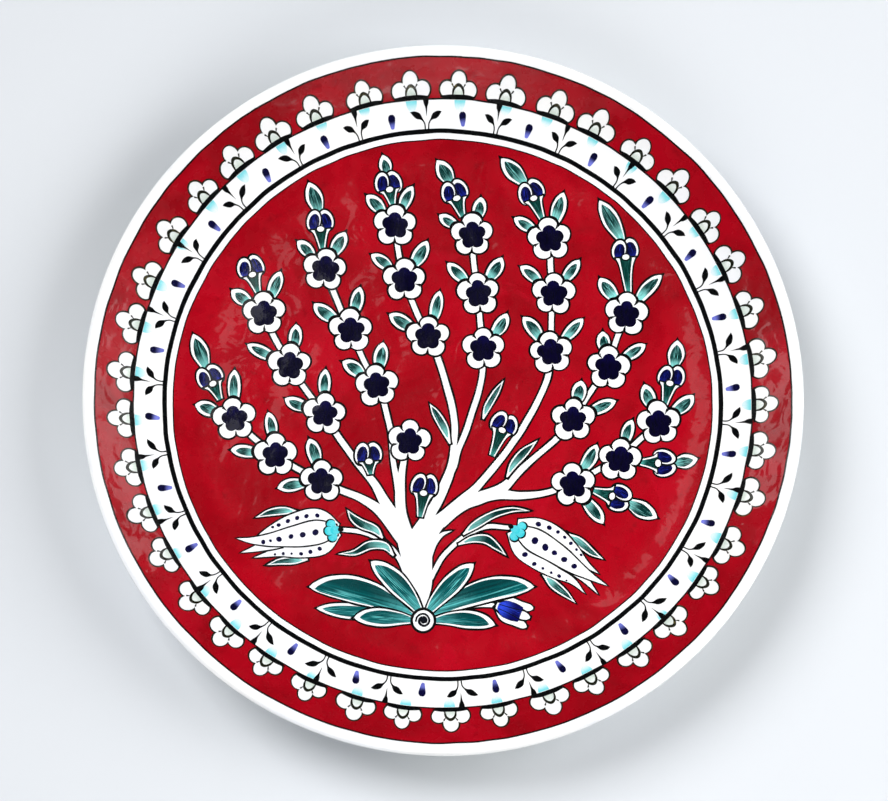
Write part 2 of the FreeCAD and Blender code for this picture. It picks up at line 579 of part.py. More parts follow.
def tulip_motifs():
    """White tulips with pointed petals, rows of dots and a turquoise cup of three lobes."""
    out = []
    for foot, round_degrees, petals, dot_rows in TULIPS:
        bearing = radians(round_degrees)
        dots = []
        for along, side, radius in [dot for row in dot_rows for dot in row]:
            dots.append(("tulip_dots", disc(at(foot, bearing, along, side), radius)))
        for petal in petals:
            blade = [at(foot, bearing, along, side) + (width,) for along, side, width in petal]
            out.append(Motif("tulip_outlines", lambda g, b=blade: ribbon(b, g)))
        out[-1].fills += dots
        for along, side in CUP_LOBES:
            centre = at(foot, bearing, along, side)
            out.append(Motif("tulip_outlines", lambda g, c=centre: disc(c, CUP_LOBE_R + g),
                             [("tulip_cups", disc(centre, CUP_LOBE_R))]))
    foot, length, width, round_degrees = SMALL_TULIP
    bearing = radians(round_degrees)
    for side in (-1, 1, 0):
        blade = [at(foot, bearing, 0, 0) + (2.4,),
                 at(foot, bearing, 0.4 * length, 0.22 * width * side) + (0.52 * width,),
                 at(foot, bearing, 0.75 * length, 0.25 * width * side) + (0.4 * width,),
                 at(foot, bearing, length, 0.36 * width * side) + (0,)]
        out.append(Motif("tulip_outlines", lambda g, b=blade: ribbon(b, g)))
    along, half_length, half_width = SMALL_HEART
    heart = oval(at(foot, bearing, along, 0), bearing, half_length, half_width)
    out[-1].fills.append(("small_tulip_heart", heart))
    return out


def base_motifs():
    out = []
    for base, middle, tip, width in BASE_LEAVES:
        bearing = span(base, tip)[0]
        bow = (middle[1] - base[1]) * cos(bearing) - (middle[0] - base[0]) * sin(bearing)
        out.append(leaf_motif(("base_leaf_outlines", "base_leaf_greens"), base, tip, width, BASE_LEAF, bow))
    eye = disc(ROSETTE, EYE * ROSETTE_R)
    curl = disc(ROSETTE, CURL_OUT * ROSETTE_R).cut(disc(ROSETTE, CURL_IN * ROSETTE_R))
    out.append(Motif("rosette_ring", lambda g: disc(ROSETTE, ROSETTE_R + 0.4 + g),
                     [("rosette_curl", eye), ("rosette_curl", curl)]))
    return out


def tree_wood(grow):
    twigs = []
    for branch in BRANCHES:
        for (start, _), (end, _) in zip(branch, branch[1:]):
            twigs.append(ribbon([start + (TWIG_W,), end + (TWIG_W,)], grow))
    return fused([ribbon(points, grow) for points in LIMBS + STEMS] + twigs)


def make_tree():
    """Paints from back to front: what lies in front interrupts the lines and colours behind it."""
    motifs = [Motif("trunk_outline", tree_wood)]
    motifs += slim_motifs() + tulip_motifs() + leaf_motifs() + bud_motifs() + blossom_motifs() + base_motifs()
    nodes = {}
    for i, motif in enumerate(motifs):
        front = [m.outer for m in motifs[i + 1:]]
        for name, shape in [(motif.kind, motif.line)] + motif.fills:
            seen = minus(shape, front)
            for piece in seen.Faces:
                nodes.setdefault(name, []).extend(laid(piece))
    for name, solids in nodes.items():
        save(name, solids)
    ground = minus(disc(AXIS, FIELD_R), [m.outer for m in motifs])
    save("red_field", laid(ground, RED_COAT, RED))


save("clay_body", [clay_body()])
save("white_slip", [between(face_curve(0) + lip_curve(0), face_curve(SLIP) + lip_curve(SLIP))])
save("back_glaze", back_skin().Solids)
make_rings()
make_border()
make_band()
make_tree()
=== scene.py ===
"""The looks of the hand painted plate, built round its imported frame.

The decoration is drawn as flat outlines in millimetres, back to front, and cut into one planar partition.
Each colour's share of it becomes thin raised pads that follow the dish.
"""

import json
import random
from math import atan2, cos, hypot, pi, radians, sin, sqrt, tan

import bpy
import numpy as np
from mathutils import Matrix, Vector, noise
from mathutils.geometry import delaunay_2d_cdt


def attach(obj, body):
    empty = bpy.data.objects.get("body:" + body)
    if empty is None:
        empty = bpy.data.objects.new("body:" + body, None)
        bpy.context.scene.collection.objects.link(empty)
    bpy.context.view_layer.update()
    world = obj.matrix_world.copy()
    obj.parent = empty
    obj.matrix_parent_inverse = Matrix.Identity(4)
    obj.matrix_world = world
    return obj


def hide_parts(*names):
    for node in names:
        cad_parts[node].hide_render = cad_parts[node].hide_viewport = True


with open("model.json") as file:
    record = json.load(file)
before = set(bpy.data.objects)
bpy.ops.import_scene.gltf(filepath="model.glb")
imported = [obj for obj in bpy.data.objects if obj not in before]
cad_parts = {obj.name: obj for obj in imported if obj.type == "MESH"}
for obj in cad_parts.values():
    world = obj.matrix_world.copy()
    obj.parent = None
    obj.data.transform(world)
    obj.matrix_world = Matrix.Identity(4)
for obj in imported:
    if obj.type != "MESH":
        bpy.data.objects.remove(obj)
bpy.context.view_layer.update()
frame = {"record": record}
MM = 0.001

# ---- the dish, in millimetres, as in the frame ----
RIM_R = 150.0
WALL = 4.4
FLOOR_R = 100.0
FLOOR_Z = 11.5
BEND_R = 60.0
SLOPE = radians(34.0)
FOOT_OUT, FOOT_IN, FOOT_DRAFT, FOOT_ROUND = 88.0, 81.0, 1.5, 1.0
BASE_Z = 6.0
SLIP = 0.4
BACK_GLAZE = 0.3
CLEAR = 0.02  # how far the glazes' inner faces stay off the clay
CENTRE_R = 0.4  # turned bodies stop this far from the axis
LIP_R = WALL / 2

# ---- heights of the painted layers above the slip ----
HEIGHT = {"red_field": 0.22, "red_border": 0.22}
COLOUR_HEIGHT = 0.1
SUNK = 0.06  # how far the pads reach into the slip under them

# ---- the drawing's own sizes ----
AXIS = (0, 0)
LINE = 0.8
FLOWER_LINE, TULIP_LINE = 0.85, 0.8  # how much of LINE these two motifs' contours take
FIELD_R, FIELD_LINE_R = 112.5, 113.0
BAND_IN, BAND_IN_W = 116.3, 1.9
BAND_OUT, BAND_OUT_W = 129.2, 0.7
BORDER_R, RIM_LINE_R = 144.6, 145.2
SCATTER_STEP, SCATTER_ROW = 2.6, 0.866  # of the loose points: along a row, and from row to row in steps
FLOWERS, FLOWER_START = 41, 87.2
SPRIGS, SPRIG_START = 26, 93.3
PETALS = 5
PETAL_OUT, PETAL_R = 5.15, 3.75
HEART_OUT, HEART_R = 3.1, 2.6
LEAF_W = 5.3
LEAF_START = 7.5  # how far from a blossom's centre its leaves start
LEAF_PIECES = ("leaf_outlines", "leaf_greens")
MARGIN, SLIM_MARGIN = 0.95, 1.1  # white left inside a contour, and a slim leaf's loss of green width
BARE_TIP = 2.0
TWIG_W, TWIG_WAIST, TWIG_BOW = 2.3, 0.92, 0.5
ROSETTE, ROSETTE_R, ROSETTE_LINE, EYE_R = (-8.0, -91.5), 4.4, 1.1, 1.25

# Border flower, heights above the band's outer ring. Top and middle lobes: height, half length, half width.
FLOWER_TOP, FLOWER_MIDDLE = (6.7, 3.6, 3.15), (1.6, 3.0, 3.4)
FLOWER_SIDE, FLOWER_LEAN = (3.1, 4.7, 3.2), 0.45  # height, offset, half width; lean in radians
FLOWER_TICK = ((5.3, 2.9, 0.7), (4.4, 2.3, 0.4), (3.9, 2.0, 0.1))
ARCH_FOOT = 0.8
ARCH = ((0, -2.4, 0.5), (2.6, -1.9, 1.0), (4.1, 0, 1.45), (2.6, 1.9, 1.0), (0, 2.4, 0.5))
ARCH_WASH = ((-0.6, -1.9), (2.3, -1.5), (3.5, 0), (2.3, 1.5), (-0.6, 1.9))
BAR_MIDDLE, BAR_STEP = 0.45, 0.0145  # height, and a step of bearing in radians
BAR = ((-4, 0.5), (-2, 1.5), (0, 1.7), (2, 1.5), (4, 0.5))

# The band: (height, offset, width) rows above the inner ring. The spike's hang from the outer one, and its
# offsets are shares of its lean. A drop's rows are (share of the length, width).
SPRIG_STEM = ((-0.3, 0.7, 0.55), (2.2, 0.9, 0.5))
SPRIG_LEAF = ((3.9, 1.9, 0.8), (5.2, 3.4, 2.5), (6.3, 5.1, 1.8), (6.8, 6.5, 0))
SPRIG_SPIKE = ((0.1, 1, 2.4), (-1.4, 1, 1.9), (-3.0, 0.5, 0.8), (-6.6, 0, 0))
DROP_TOP, DROP_FOOT = 7.0, 1.2
DROP = ((0, 1.2), (0.12, 2.5), (0.3, 2.9), (0.6, 2.3), (0.9, 1.5), (1.0, 0.9))
WASH_HALF_W = 2.3

# Buds and blossoms. Rows are (share of the length, width), and a joint's (share of its angle, width).
CALYX_FORM = ((0.0, 2.4), (0.45, 4.0), (0.8, 5.8), (1.0, 8.4))
CALYX_GREEN = ((0.0, 1.4), (0.45, 2.8), (0.8, 4.3))
CALYX_BELOW_TOP, PETAL_BELOW_TOP, BUD_LEAF_START = 7.9, 4.4, 3.0
BUD_SPREAD, BUD_PETAL_HALF_W = 2.65, 2.85
PETAL_SEAM = ((7.0, 1.3), (6.1, 0.8), (4.8, 0.12))  # (distance from the centre, width)
JOINT = ((-1.0, 0.4), (-0.55, 1.1), (0.0, 1.35), (0.55, 1.1), (1.0, 0.4))
JOINT_HALF_ANGLE, JOINT_OUT = 0.3, 0.75

# Tulips: the three lobes at the foot, and the small one's (along, offset, width) rows.
CUP_LOBES, CUP_R, CUP_LINE_R = ((3.0, -2.6), (3.0, 2.6), (4.2, 0)), 1.85, 2.15
SMALL_PETAL = ((-0.2, 0, 2.4), (4.5, 2.2, 5.6), (9.5, 3.2, 4.0), (13.2, 3.9, 2.6), (14.6, 4.1, 0.6))
SMALL_HEART = ((0.5, 0, 2.4), (3.4, 0, 6.6), (7.0, 0, 7.6), (10.6, 0, 6.4))
SMALL_SEAM = ((1.0, 0.9, 0.3), (6.5, 1.3, 0.4), (11.5, 1.9, 0.45))

# ---- the tree: each branch is its blossoms from the trunk outwards, each with the tips of its leaves ----
BRANCHES = [
    [((-50.5, -33), [(-69, -36), (-56, -15)]), ((-70, -22), [(-88.5, -20), (-73, -4)]),
     ((-87, -7), [(-103.5, -1), (-87, 14)])],
    [((-49.5, -4.5), [(-66, 2), (-49, 14.5)]), ((-64, 16), [(-82, 25), (-61.5, 33.5)]),
     ((-75, 38), [(-88.5, 48), (-68, 56)])],
    [((-27.5, 7.5), [(-42, 17.5), (-25, 26)]), ((-38.5, 31), [(-54, 42.5), (-34.5, 49.5)]),
     ((-49.5, 57), [(-61, 69), (-41, 73)])],
    [((-6, 28.5), [(-22.5, 38), (-1, 48)]), ((-16, 52.5), [(-30, 63.5), (-6.5, 69.5)]),
     ((-20, 76), [(-32, 89), (-12.5, 93)])],
    [((17, 23.5), [(27, 38.5)]), ((15, 47), [(2, 60), (25, 62.5)]),
     ((12.5, 72), [(-1.5, 80.5), (16, 88.5)])],
    [((45.5, 22), [(33.5, 37), (59, 36.5)]), ((46.5, 47), [(32.5, 58.5), (57.5, 61.5)]),
     ((45, 70.5), [(30, 79.5), (51, 90.5)])],
    [((54.5, -6.5), [(58, 10), (72.5, 1.5)]), ((69.5, 15.5), [(67, 31), (85, 25.5)]),
     ((77, 38.5), [(66, 54), (92, 55)])],
    [((54.5, -34), [(64.5, -17), (67, -50.5)]), ((74, -23.5), [(79.5, -6.5)]),
     ((90.5, -8), [(84.5, 8.5), (105, 4)])],
    [((-14, -16), [])],
]

# Buds: where the green calyx starts, the top of the two petals, and the tip of the leaf above, if any.
BUDS = [
    ((-93, 1.5), (-99.5, 15), (-104.5, 29)),
    ((-77.5, 47), (-82, 62), None),
    ((-50.5, 66), (-52, 82), (-56.5, 94)),
    ((-21, 85), (-24, 99), (-25.5, 106)),
    ((8.5, 80), (3.5, 95), (-2.5, 104)),
    ((42, 79), (35.5, 95), (24.5, 105)),
    ((78, 47), (76.5, 70.5), (66, 87)),
    ((93, 0), (97, 16.5), (98.5, 27.5)),
    ((82.5, -24.5), (97.5, -25), (106.5, -23)),
    ((63, -36.5), (78, -41), (89.5, -48)),
    ((-30, -30), (-31.5, -17), None),
    ((-9.5, -48), (-7, -30.5), None),
    ((20.5, -22), (27.5, -4), None),
]

# Limbs: centre-line points with the full width of the white at each.
LIMBS = [
    [(-8.2, -86, 3), (-9.3, -78, 9.5), (-10.3, -70, 11.8), (-11.3, -62, 13.5), (-12, -57, 14)],
    [(-12, -62, 8), (-15, -57, 8.5), (-19.9, -51.5, 7), (-26.8, -44.6, 4.2), (-34.7, -39.8, 3),
     (-42, -37, 2.6), (-48, -34, 2.4)],
    [(-15, -58, 7), (-18.9, -52, 7), (-21.5, -46.2, 5), (-25.2, -39.8, 4), (-29.4, -32.8, 3.2),
     (-36.3, -24.3, 2.6), (-43.2, -14.6, 2.4), (-48, -7.5, 2.2)],
    [(-14.5, -60, 8), (-16.2, -53, 6), (-17.4, -46, 4.2), (-17.7, -38, 4), (-17.2, -31, 3),
     (-16.2, -24.5, 2.4), (-15, -18, 2.2)],
    [(-17.9, -40, 3), (-19.2, -32, 2.4), (-20.6, -24, 2), (-22.2, -10, 2.2), (-25, 2, 2.2), (-27, 6, 2.2)],
    [(-12.5, -62, 8), (-10.2, -55.5, 6.5), (-5.7, -47.2, 4.6), (-2, -40.8, 4.2), (1.7, -32.3, 4),
     (3.7, -25.5, 3.2), (4.6, -18, 2.6), (4.9, -8, 2.6), (2.5, 5, 2.6), (-2, 19.5, 2.4), (-5, 26.5, 2.4)],
    [(1.5, -32, 3.4), (4.4, -26, 3), (6.2, -20.5, 2.5), (8.8, -14, 2.4), (13.5, 0, 2.4), (16.3, 10, 2.3),
     (17, 19, 2.2)],
    [(-10, -63, 8), (-7.3, -57, 8.5), (-3.6, -51.8, 7), (1.2, -47.5, 5.4), (8.4, -41.3, 5),
     (14.4, -35.4, 3.2), (21.3, -26.9, 2.8), (28.7, -17.3, 2.6), (37, -4, 2.5), (43.5, 10, 2.4),
     (45, 17, 2.4)],
    [(-1, -50.5, 5), (5, -45, 5), (10, -41.8, 5), (16, -39.8, 5), (23.4, -36.8, 4.4), (29.8, -31.2, 3),
     (37.2, -23.7, 2.4), (47.8, -14.4, 2.2), (52, -9.5, 2.2)],
    [(17, -39.8, 4), (24, -38.3, 4), (31.9, -38.8, 3), (38, -38.4, 2.6), (44.6, -37.1, 2.3),
     (50, -35.3, 2.2)],
    [(-6, -66, 2.4), (-3.6, -59.5, 2), (-0.5, -55.5, 1.6), (4, -53.8, 0)],
]

# Slender leaves with their own course: centre-line points and full widths, base first.
SLIM_LEAVES = [
    [(3, -17, 0.6), (0.5, -10, 3.6), (-3, -4, 3), (-5.5, 0, 0)],
    [(17, -6.5, 0.6), (19, -1, 3), (22.5, 5, 2.6), (25.5, 10, 0)],
    [(26.8, -31, 0.6), (29.5, -26, 3.2), (34, -20.5, 3.6), (39.8, -15, 0)],
    [(-25, -57, 0.6), (-28.4, -53.3, 3.4), (-33.7, -51, 4), (-37.4, -48.3, 3), (-40, -44.9, 0)],
    [(-20.5, -64.4, 0.6), (-24.2, -60.3, 3.2), (-30.5, -60.1, 3.6), (-36.9, -63.1, 2.4), (-43.7, -63.8, 0)],
    [(8.6, -55.3, 0.6), (13.9, -51, 3.2), (21.3, -46.9, 3), (28.7, -44.7, 2.2), (36.6, -45.1, 0)],
    [(6.5, -59.5, 0.6), (12.9, -57.1, 3), (18.1, -57.3, 3.8), (22.4, -60.3, 2.8), (26.4, -64.1, 0)],
    [(-60.5, -46, 0.6), (-66, -45.5, 3.2), (-72, -46.5, 2.8), (-78, -48.5, 0)],
    [(-56, -66, 0.6), (-62, -66.5, 3), (-68, -67, 2.6), (-73.5, -68.5, 0)],
    [(51.5, -54.5, 0.6), (56.5, -58, 3.6), (62, -62.5, 2.8), (67, -65.5, 0)],
    [(41.5, -72, 0.6), (46, -76, 3.6), (51, -80, 2.8), (55.5, -84, 0)],
]

# Stems of the two tulips and of the small one, centre-line points and full widths.
STEMS = [
    [(-15, -73, 1.9), (-17.8, -66.5, 1.9), (-21.5, -61.1, 1.9), (-27.3, -56.9, 1.9), (-34.7, -54.2, 1.8),
     (-43.2, -53.4, 1.6)],
    [(-5, -74, 1.9), (-3.5, -70.8, 1.9), (0.2, -64.4, 1.9), (5.5, -59, 1.9), (12.9, -53.7, 1.9),
     (19.2, -51.9, 1.8), (28, -52.2, 1.6)],
    [(3, -86.5, 2), (8.6, -85.4, 2), (16, -84.8, 1.9), (22.5, -85.2, 1.6)],
]

# Big leaves round the rosette: base, a point on the spine, tip and width.
BASE_LEAVES = [
    ((-16, -89.5), (-34, -88), (-52.5, -86.6), 6.5),
    ((-12, -90), (-33, -79.5), (-55.6, -77.4), 11.0),
    ((-12, -91.5), (-24, -90.3), (-36.8, -90.5), 7.6),
    ((-9, -88.5), (-18.5, -76.5), (-30, -66.7), 8.6),
    ((-4, -89.5), (17, -79), (38.2, -77.2), 10.0),
    ((-4, -91.5), (8, -90.8), (21.8, -93.2), 7.4),
    ((-6.5, -88.5), (2.5, -77.5), (12.9, -67.6), 8.0),
]

# Tulips: foot, bearing in degrees, then each petal's line in the flower's own (along, side, width),
# then each row of dots as (along, side, radius).
TULIPS = [
    ((-43, -53.5), 187.0,
     [[(0.5, -1, 3), (8, -5.5, 8), (18, -5.8, 6.5), (27, -3.8, 3.6), (35.5, -0.5, 0)],
      [(0.5, 1, 3), (8, 5.5, 8), (18, 6.3, 6.2), (27, 6.2, 3.4), (37, 7.5, 0)],
      [(25, 2, 5), (34, 3.4, 3), (42, 4.8, 0)],
      [(1, 0, 4), (9, 0, 9.5), (20, 0.5, 8), (30, 0.8, 4.6), (37, 0, 2.4), (43, -1.5, 0)]],
     [[(10, 0, 1.3), (15.5, 0.2, 1.2), (20.5, 0.4, 1.0), (25.5, 1, 1.1), (29, 1.2, 0.6), (32, 1.4, 0.9)],
      [(8.5, -7, 0.9), (13, -7.2, 0.9), (17, -7, 0.9), (21, -6.2, 0.9), (25, -5, 0.8), (27.5, -4.4, 0.6)],
      [(9, 7, 0.9), (13, 7.8, 0.9), (17, 8, 0.8), (21, 7.6, 0.5), (24.5, 7.2, 0.7), (28, 7, 0.5)]]),
    ((29, -52), 323.0,
     [[(1, -1.5, 4), (8, -4.8, 7), (16, -5.5, 6.5), (25, -4.8, 4.8), (33, -3.2, 2.6), (41, -4, 0)],
      [(1, 2.5, 4), (8, 6.5, 6.5), (17, 8.6, 6), (26, 7.8, 4), (34, 6, 2.4), (40.5, 6, 0)],
      [(29, 1.4, 5), (38, 0.4, 2.4), (45.5, -1, 0)],
      [(2, 0.5, 4), (10, 1, 9), (20, 2, 8.5), (30, 2.2, 6), (38, 2.8, 3), (46.5, 4.2, 0)]],
     [[(11, 1, 1.4), (16, 1.4, 1.4), (20.5, 1.9, 1.1), (25.5, 2, 1.2), (30.5, 2.2, 1.1)],
      [(8, 7.5, 1.1), (12.5, 9, 1.0), (16.5, 9.8, 0.8), (20, 9.8, 0.7), (23.5, 9.2, 0.8), (27, 8.4, 0.6),
       (30, 7.8, 0.6)],
      [(11, -6, 1.1), (16.5, -7, 0.9), (20.5, -6.4, 0.6), (24.5, -5.8, 0.6), (28, -4.8, 0.8),
       (31.5, -4.4, 0.4)]]),
]
SMALL_TULIP = ((22.5, -85.2), 340.0)


# ---- the dish's surface, in millimetres ----
def wobble(x, y):
    """The slight unevenness of a hand-finished dish."""
    r, a = np.hypot(x, y), np.arctan2(y, x)
    out = 0.16 * (r / RIM_R) ** 2 * np.cos(2 * a + 0.7) + 0.07 * (r / RIM_R) ** 3 * np.cos(5 * a + 2.0)
    out += 0.035 * np.sin(x / 9.0 + 1.3 * np.sin(y / 17.0)) * np.sin(y / 11.0 + 0.8)
    return out + 0.03 * np.cos(r / 4.6 + 0.6 * np.cos(a * 2))


def face_height(x, y):
    """Height of the slip's surface over a point of the plan."""
    x, y = np.asarray(x, float), np.asarray(y, float)
    r = np.hypot(x, y)
    radius = BEND_R - SLIP
    bend_end = FLOOR_R + radius * sin(SLOPE)
    centre = FLOOR_Z + BEND_R
    over = np.clip(r, FLOOR_R, bend_end) - FLOOR_R
    z = centre - np.sqrt(radius ** 2 - over ** 2) + np.clip(r - bend_end, 0, None) * tan(SLOPE)
    return z + wobble(x, y)


def face_normals(x, y, step=0.4):
    x, y = np.asarray(x, float), np.asarray(y, float)
    dx = (face_height(x + step, y) - face_height(x - step, y)) / (2 * step)
    dy = (face_height(x, y + step) - face_height(x, y - step)) / (2 * step)
    n = np.stack([-dx, -dy, np.ones_like(dx)], axis=-1)
    return n / np.linalg.norm(n, axis=-1, keepdims=True)


# ---- drawing ----
def at(foot, bearing, along, side):
    """The point that lies along and to the left of a line leaving foot at bearing, in radians."""
    c, s = cos(bearing), sin(bearing)
    return (foot[0] + along * c - side * s, foot[1] + along * s + side * c)


def heading(a, b):
    return atan2(b[1] - a[1], b[0] - a[0])


def apart(a, b):
    """How far apart two points of the plan are."""
    return hypot(b[0] - a[0], b[1] - a[1])


def placed(foot, bearing, rows, side=1, start=0.0):
    """Rows of (along, offset, width) in a motif's own frame, as rows of (x, y, width) in the plan."""
    return [at(foot, bearing, start + along, offset * side) + (width,) for along, offset, width in rows]


def pen(x, y):
    """The drawn line's width here, as a multiple of its usual width."""
    return 1.0 + 0.34 * noise.noise(Vector((x * 0.13, y * 0.13, 4.2)))


def shaken(x, y, amount=0.28):
    """Where a point ends up in a hand that isn't quite steady."""
    dx = noise.noise(Vector((x * 0.11, y * 0.11, 1.5)))
    dy = noise.noise(Vector((x * 0.11, y * 0.11, 7.5)))
    return (x + amount * dx, y + amount * dy)


def oval(centre, bearing, half_length, half_width, grow=0.0, points=36):
    out = []
    for i in range(points):
        t = 2 * pi * i / points
        x, y = at(centre, bearing, half_length * cos(t), half_width * sin(t))
        reach = grow * pen(x, y)
        out.append(at(centre, bearing, (half_length + reach) * cos(t), (half_width + reach) * sin(t)))
    return out


def disc(radius, points=720):
    return [(radius * cos(2 * pi * i / points), radius * sin(2 * pi * i / points)) for i in range(points)]


def reach_of(lobes, bearing):
    """How far a lobed outline reaches from its centre in one direction."""
    best = 0.0
    for a, distance, radius in lobes:
        gap = radius ** 2 - (distance * sin(a - bearing)) ** 2
        if gap > 0:
            best = max(best, distance * cos(a - bearing) + sqrt(gap))
    return best


def lobed(centre, lobes, grow=0.0, points=150):
    """The outline of overlapping circles round a centre: lobes is a list of (bearing, distance, radius)."""
    grown = [(a, out, radius + grow * pen(*at(centre, a, out, 0))) for a, out, radius in lobes]
    turns = [2 * pi * i / points for i in range(points)]
    return [at(centre, a, max(0.5, reach_of(grown, a)), 0) for a in turns]


def smooth(points, per_span=7):
    """Catmull-Rom points through rows of numbers."""
    rows = [np.array(p, float) for p in points]
    rows = [2 * rows[0] - rows[1]] + rows + [2 * rows[-1] - rows[-2]]
    out = []
    for a, b, c, d in zip(rows, rows[1:], rows[2:], rows[3:]):
        for i in range(per_span):
            t = i / per_span
            out.append(0.5 * (2 * b + (c - a) * t + (2 * a - 5 * b + 4 * c - d) * t * t
                              + (3 * b - a - 3 * c + d) * t ** 3))
    return out + [rows[-2]]


def ribbon(points, grow=0.0, per_span=7):
    """A strip of varying width along a smooth line through (x, y, width); zero width makes a point."""
    line = smooth(points, per_span)
    left, right = [], []
    for i, (x, y, width) in enumerate(line):
        before, after = line[max(i - 1, 0)], line[min(i + 1, len(line) - 1)]
        bearing = heading(before, after)
        reach = grow * pen(x, y)
        half = max(width, 0.0) / 2 + reach
        if i == len(line) - 1 and width < 0.05:
            left.append(at((x, y), bearing, 2.0 * reach + 0.02, 0))
            continue
        slide = -reach if i == 0 else reach if i == len(line) - 1 else 0.0
        left.append(at((x, y), bearing, slide, half))
        right.append(at((x, y), bearing, slide, -half))
    return right + left[::-1]


BLOSSOM_LEAF = ((0.0, 0.6), (0.25, 0.9), (0.5, 1.0), (0.76, 0.8), (0.93, 0.36), (1.0, 0.0))
BUD_LEAF = ((0.0, 0.1), (0.25, 0.62), (0.55, 1.0), (0.8, 0.74), (0.94, 0.3), (1.0, 0.0))
BASE_LEAF = ((0.0, 0.3), (0.25, 0.72), (0.55, 1.0), (0.8, 0.8), (0.94, 0.38), (1.0, 0.0))


def blade(base, tip, width, bow, form):
    """A leaf's centre line and widths, for ribbon; form is its width, as a share, along its length."""
    bearing, length = heading(base, tip), apart(base, tip)
    return [at(base, bearing, t * length, bow * 4 * t * (1 - t)) + (w * width,) for t, w in form]


class Drawing:
    """Outlines painted back to front. Each has the piece it belongs to, or None for bare white slip."""

    def __init__(self):
        self.outlines = []

    def paint(self, piece, outline, stroke=None):
        """stroke is (foot, bearing, length, half width, seed): the brush stroke's own frame."""
        self.outlines.append((piece, [shaken(x, y) for x, y in outline], stroke))

    def contoured(self, line_piece, make):
        """A black contour with white inside it; make(grow) gives the outline."""
        self.paint(line_piece, make(LINE))
        self.paint(None, make(0.0))

    def partition(self, loose):
        """Cuts the plan into triangles and shares them out: {(piece, stroke index): triangles}."""
        points, faces = [Vector(p) for p in loose], []
        for _, outline, _ in self.outlines:
            start = len(points)
            points.extend(Vector(p) for p in outline)
            faces.append(list(range(start, len(points))))
        corners, _, triangles, _, _, owners = delaunay_2d_cdt(points, [], faces, 1, 1e-4, True)
        shares = {}
        for triangle, owner in zip(triangles, owners):
            if not owner:
                continue
            top = max(owner)
            piece, _, stroke = self.outlines[top]
            if piece:
                shares.setdefault((piece, top if stroke else -1), []).append(triangle)
        return np.array([tuple(c) for c in corners]), shares


def loose_points():
    """An even scatter of points that lets the larger fields follow the dish's curve."""
    out, row = [], 0
    y = -RIM_LINE_R
    while y < RIM_LINE_R:
        x = -RIM_LINE_R + (row % 2) * SCATTER_STEP / 2
        while x < RIM_LINE_R:
            if hypot(x, y) < RIM_LINE_R - 1:
                # shifted a little, off the outlines' own points
                out.append((x + 0.011 * (row % 7), y + 0.013 * (row % 5)))
            x += SCATTER_STEP
        y += SCATTER_STEP * SCATTER_ROW
        row += 1
    return out


# ---- the motifs ----
RNG = random.Random(30)


def round_the_plate(count, first, shake):
    """Bearings evenly spaced from the first one in degrees, each a little off."""
    for i in range(count):
        yield radians(first + 360.0 * i / count + RNG.uniform(-shake, shake))


def paint_rings(d):
    d.paint("rim_line", disc(RIM_LINE_R))
    d.paint("red_border", disc(BORDER_R))


def paint_border_flower(d, bearing):
    bottom = BAND_OUT + BAND_OUT_W / 2
    size = RNG.uniform(0.94, 1.05)
    lean = RNG.uniform(-0.05, 0.05)
    height, half_length, half_width = FLOWER_TOP
    lobes = [(at(AXIS, bearing, bottom + height * size, 0), bearing, half_length * size, half_width * size)]
    height, offset, half_width = FLOWER_SIDE
    for side in (-1, 1):
        spot = at(AXIS, bearing, bottom + height * size, offset * side * size)
        half_length = RNG.uniform(3.0, 3.4) * size
        lobes.append((spot, bearing - FLOWER_LEAN * side + lean, half_length, half_width * size))
    height, half_length, half_width = FLOWER_MIDDLE
    lobes.append((at(AXIS, bearing, bottom + height, 0), bearing, half_length, half_width))
    for grow, piece in ((LINE * FLOWER_LINE, "border_flower_outlines"), (0.0, None)):
        for lobe in lobes:
            d.paint(piece, oval(*lobe, grow))
    for side in (-1, 1):
        d.paint("border_flower_outlines", ribbon(placed(AXIS, bearing, FLOWER_TICK, side, bottom)))
    foot = at(AXIS, bearing, bottom + ARCH_FOOT, 0)
    d.paint("border_flower_arches", ribbon(placed(foot, bearing, ARCH)))
    fill = smooth([at(foot, bearing, along, side) for along, side in ARCH_WASH])
    d.paint("border_flower_centres", [tuple(p) for p in fill], (foot, bearing, 3.6, 2.0, RNG.random()))
    bar = [at(AXIS, bearing + t * BAR_STEP, bottom + BAR_MIDDLE, 0) + (w,) for t, w in BAR]
    d.paint("border_flower_bars", ribbon(bar))


def paint_band(d):
    outer, inner = BAND_OUT - BAND_OUT_W / 2, BAND_IN + BAND_IN_W / 2
    d.paint("band_outer_ring", disc(BAND_OUT + BAND_OUT_W / 2))
    d.paint(None, disc(outer))
    for bearing in round_the_plate(FLOWERS, FLOWER_START, 0.4):
        long = RNG.uniform(3.0, 4.6)
        centre = at(AXIS, bearing, outer - 0.2, 0)
        wash = [p for p in oval(centre, bearing, long, WASH_HALF_W, 0, 28) if hypot(*p) < outer]
        d.paint("band_turquoise_washes", wash, (centre, bearing + pi, long, WASH_HALF_W, RNG.random()))
    for bearing in round_the_plate(SPRIGS, SPRIG_START, 0.5):
        paint_sprig(d, bearing, inner, outer)
        paint_drop(d, bearing + pi / SPRIGS, inner)
    d.paint("band_inner_ring", disc(inner))
    d.paint(None, disc(BAND_IN - BAND_IN_W / 2))
    d.paint("field_line", disc(FIELD_LINE_R))
    d.paint("red_field", disc(FIELD_R))


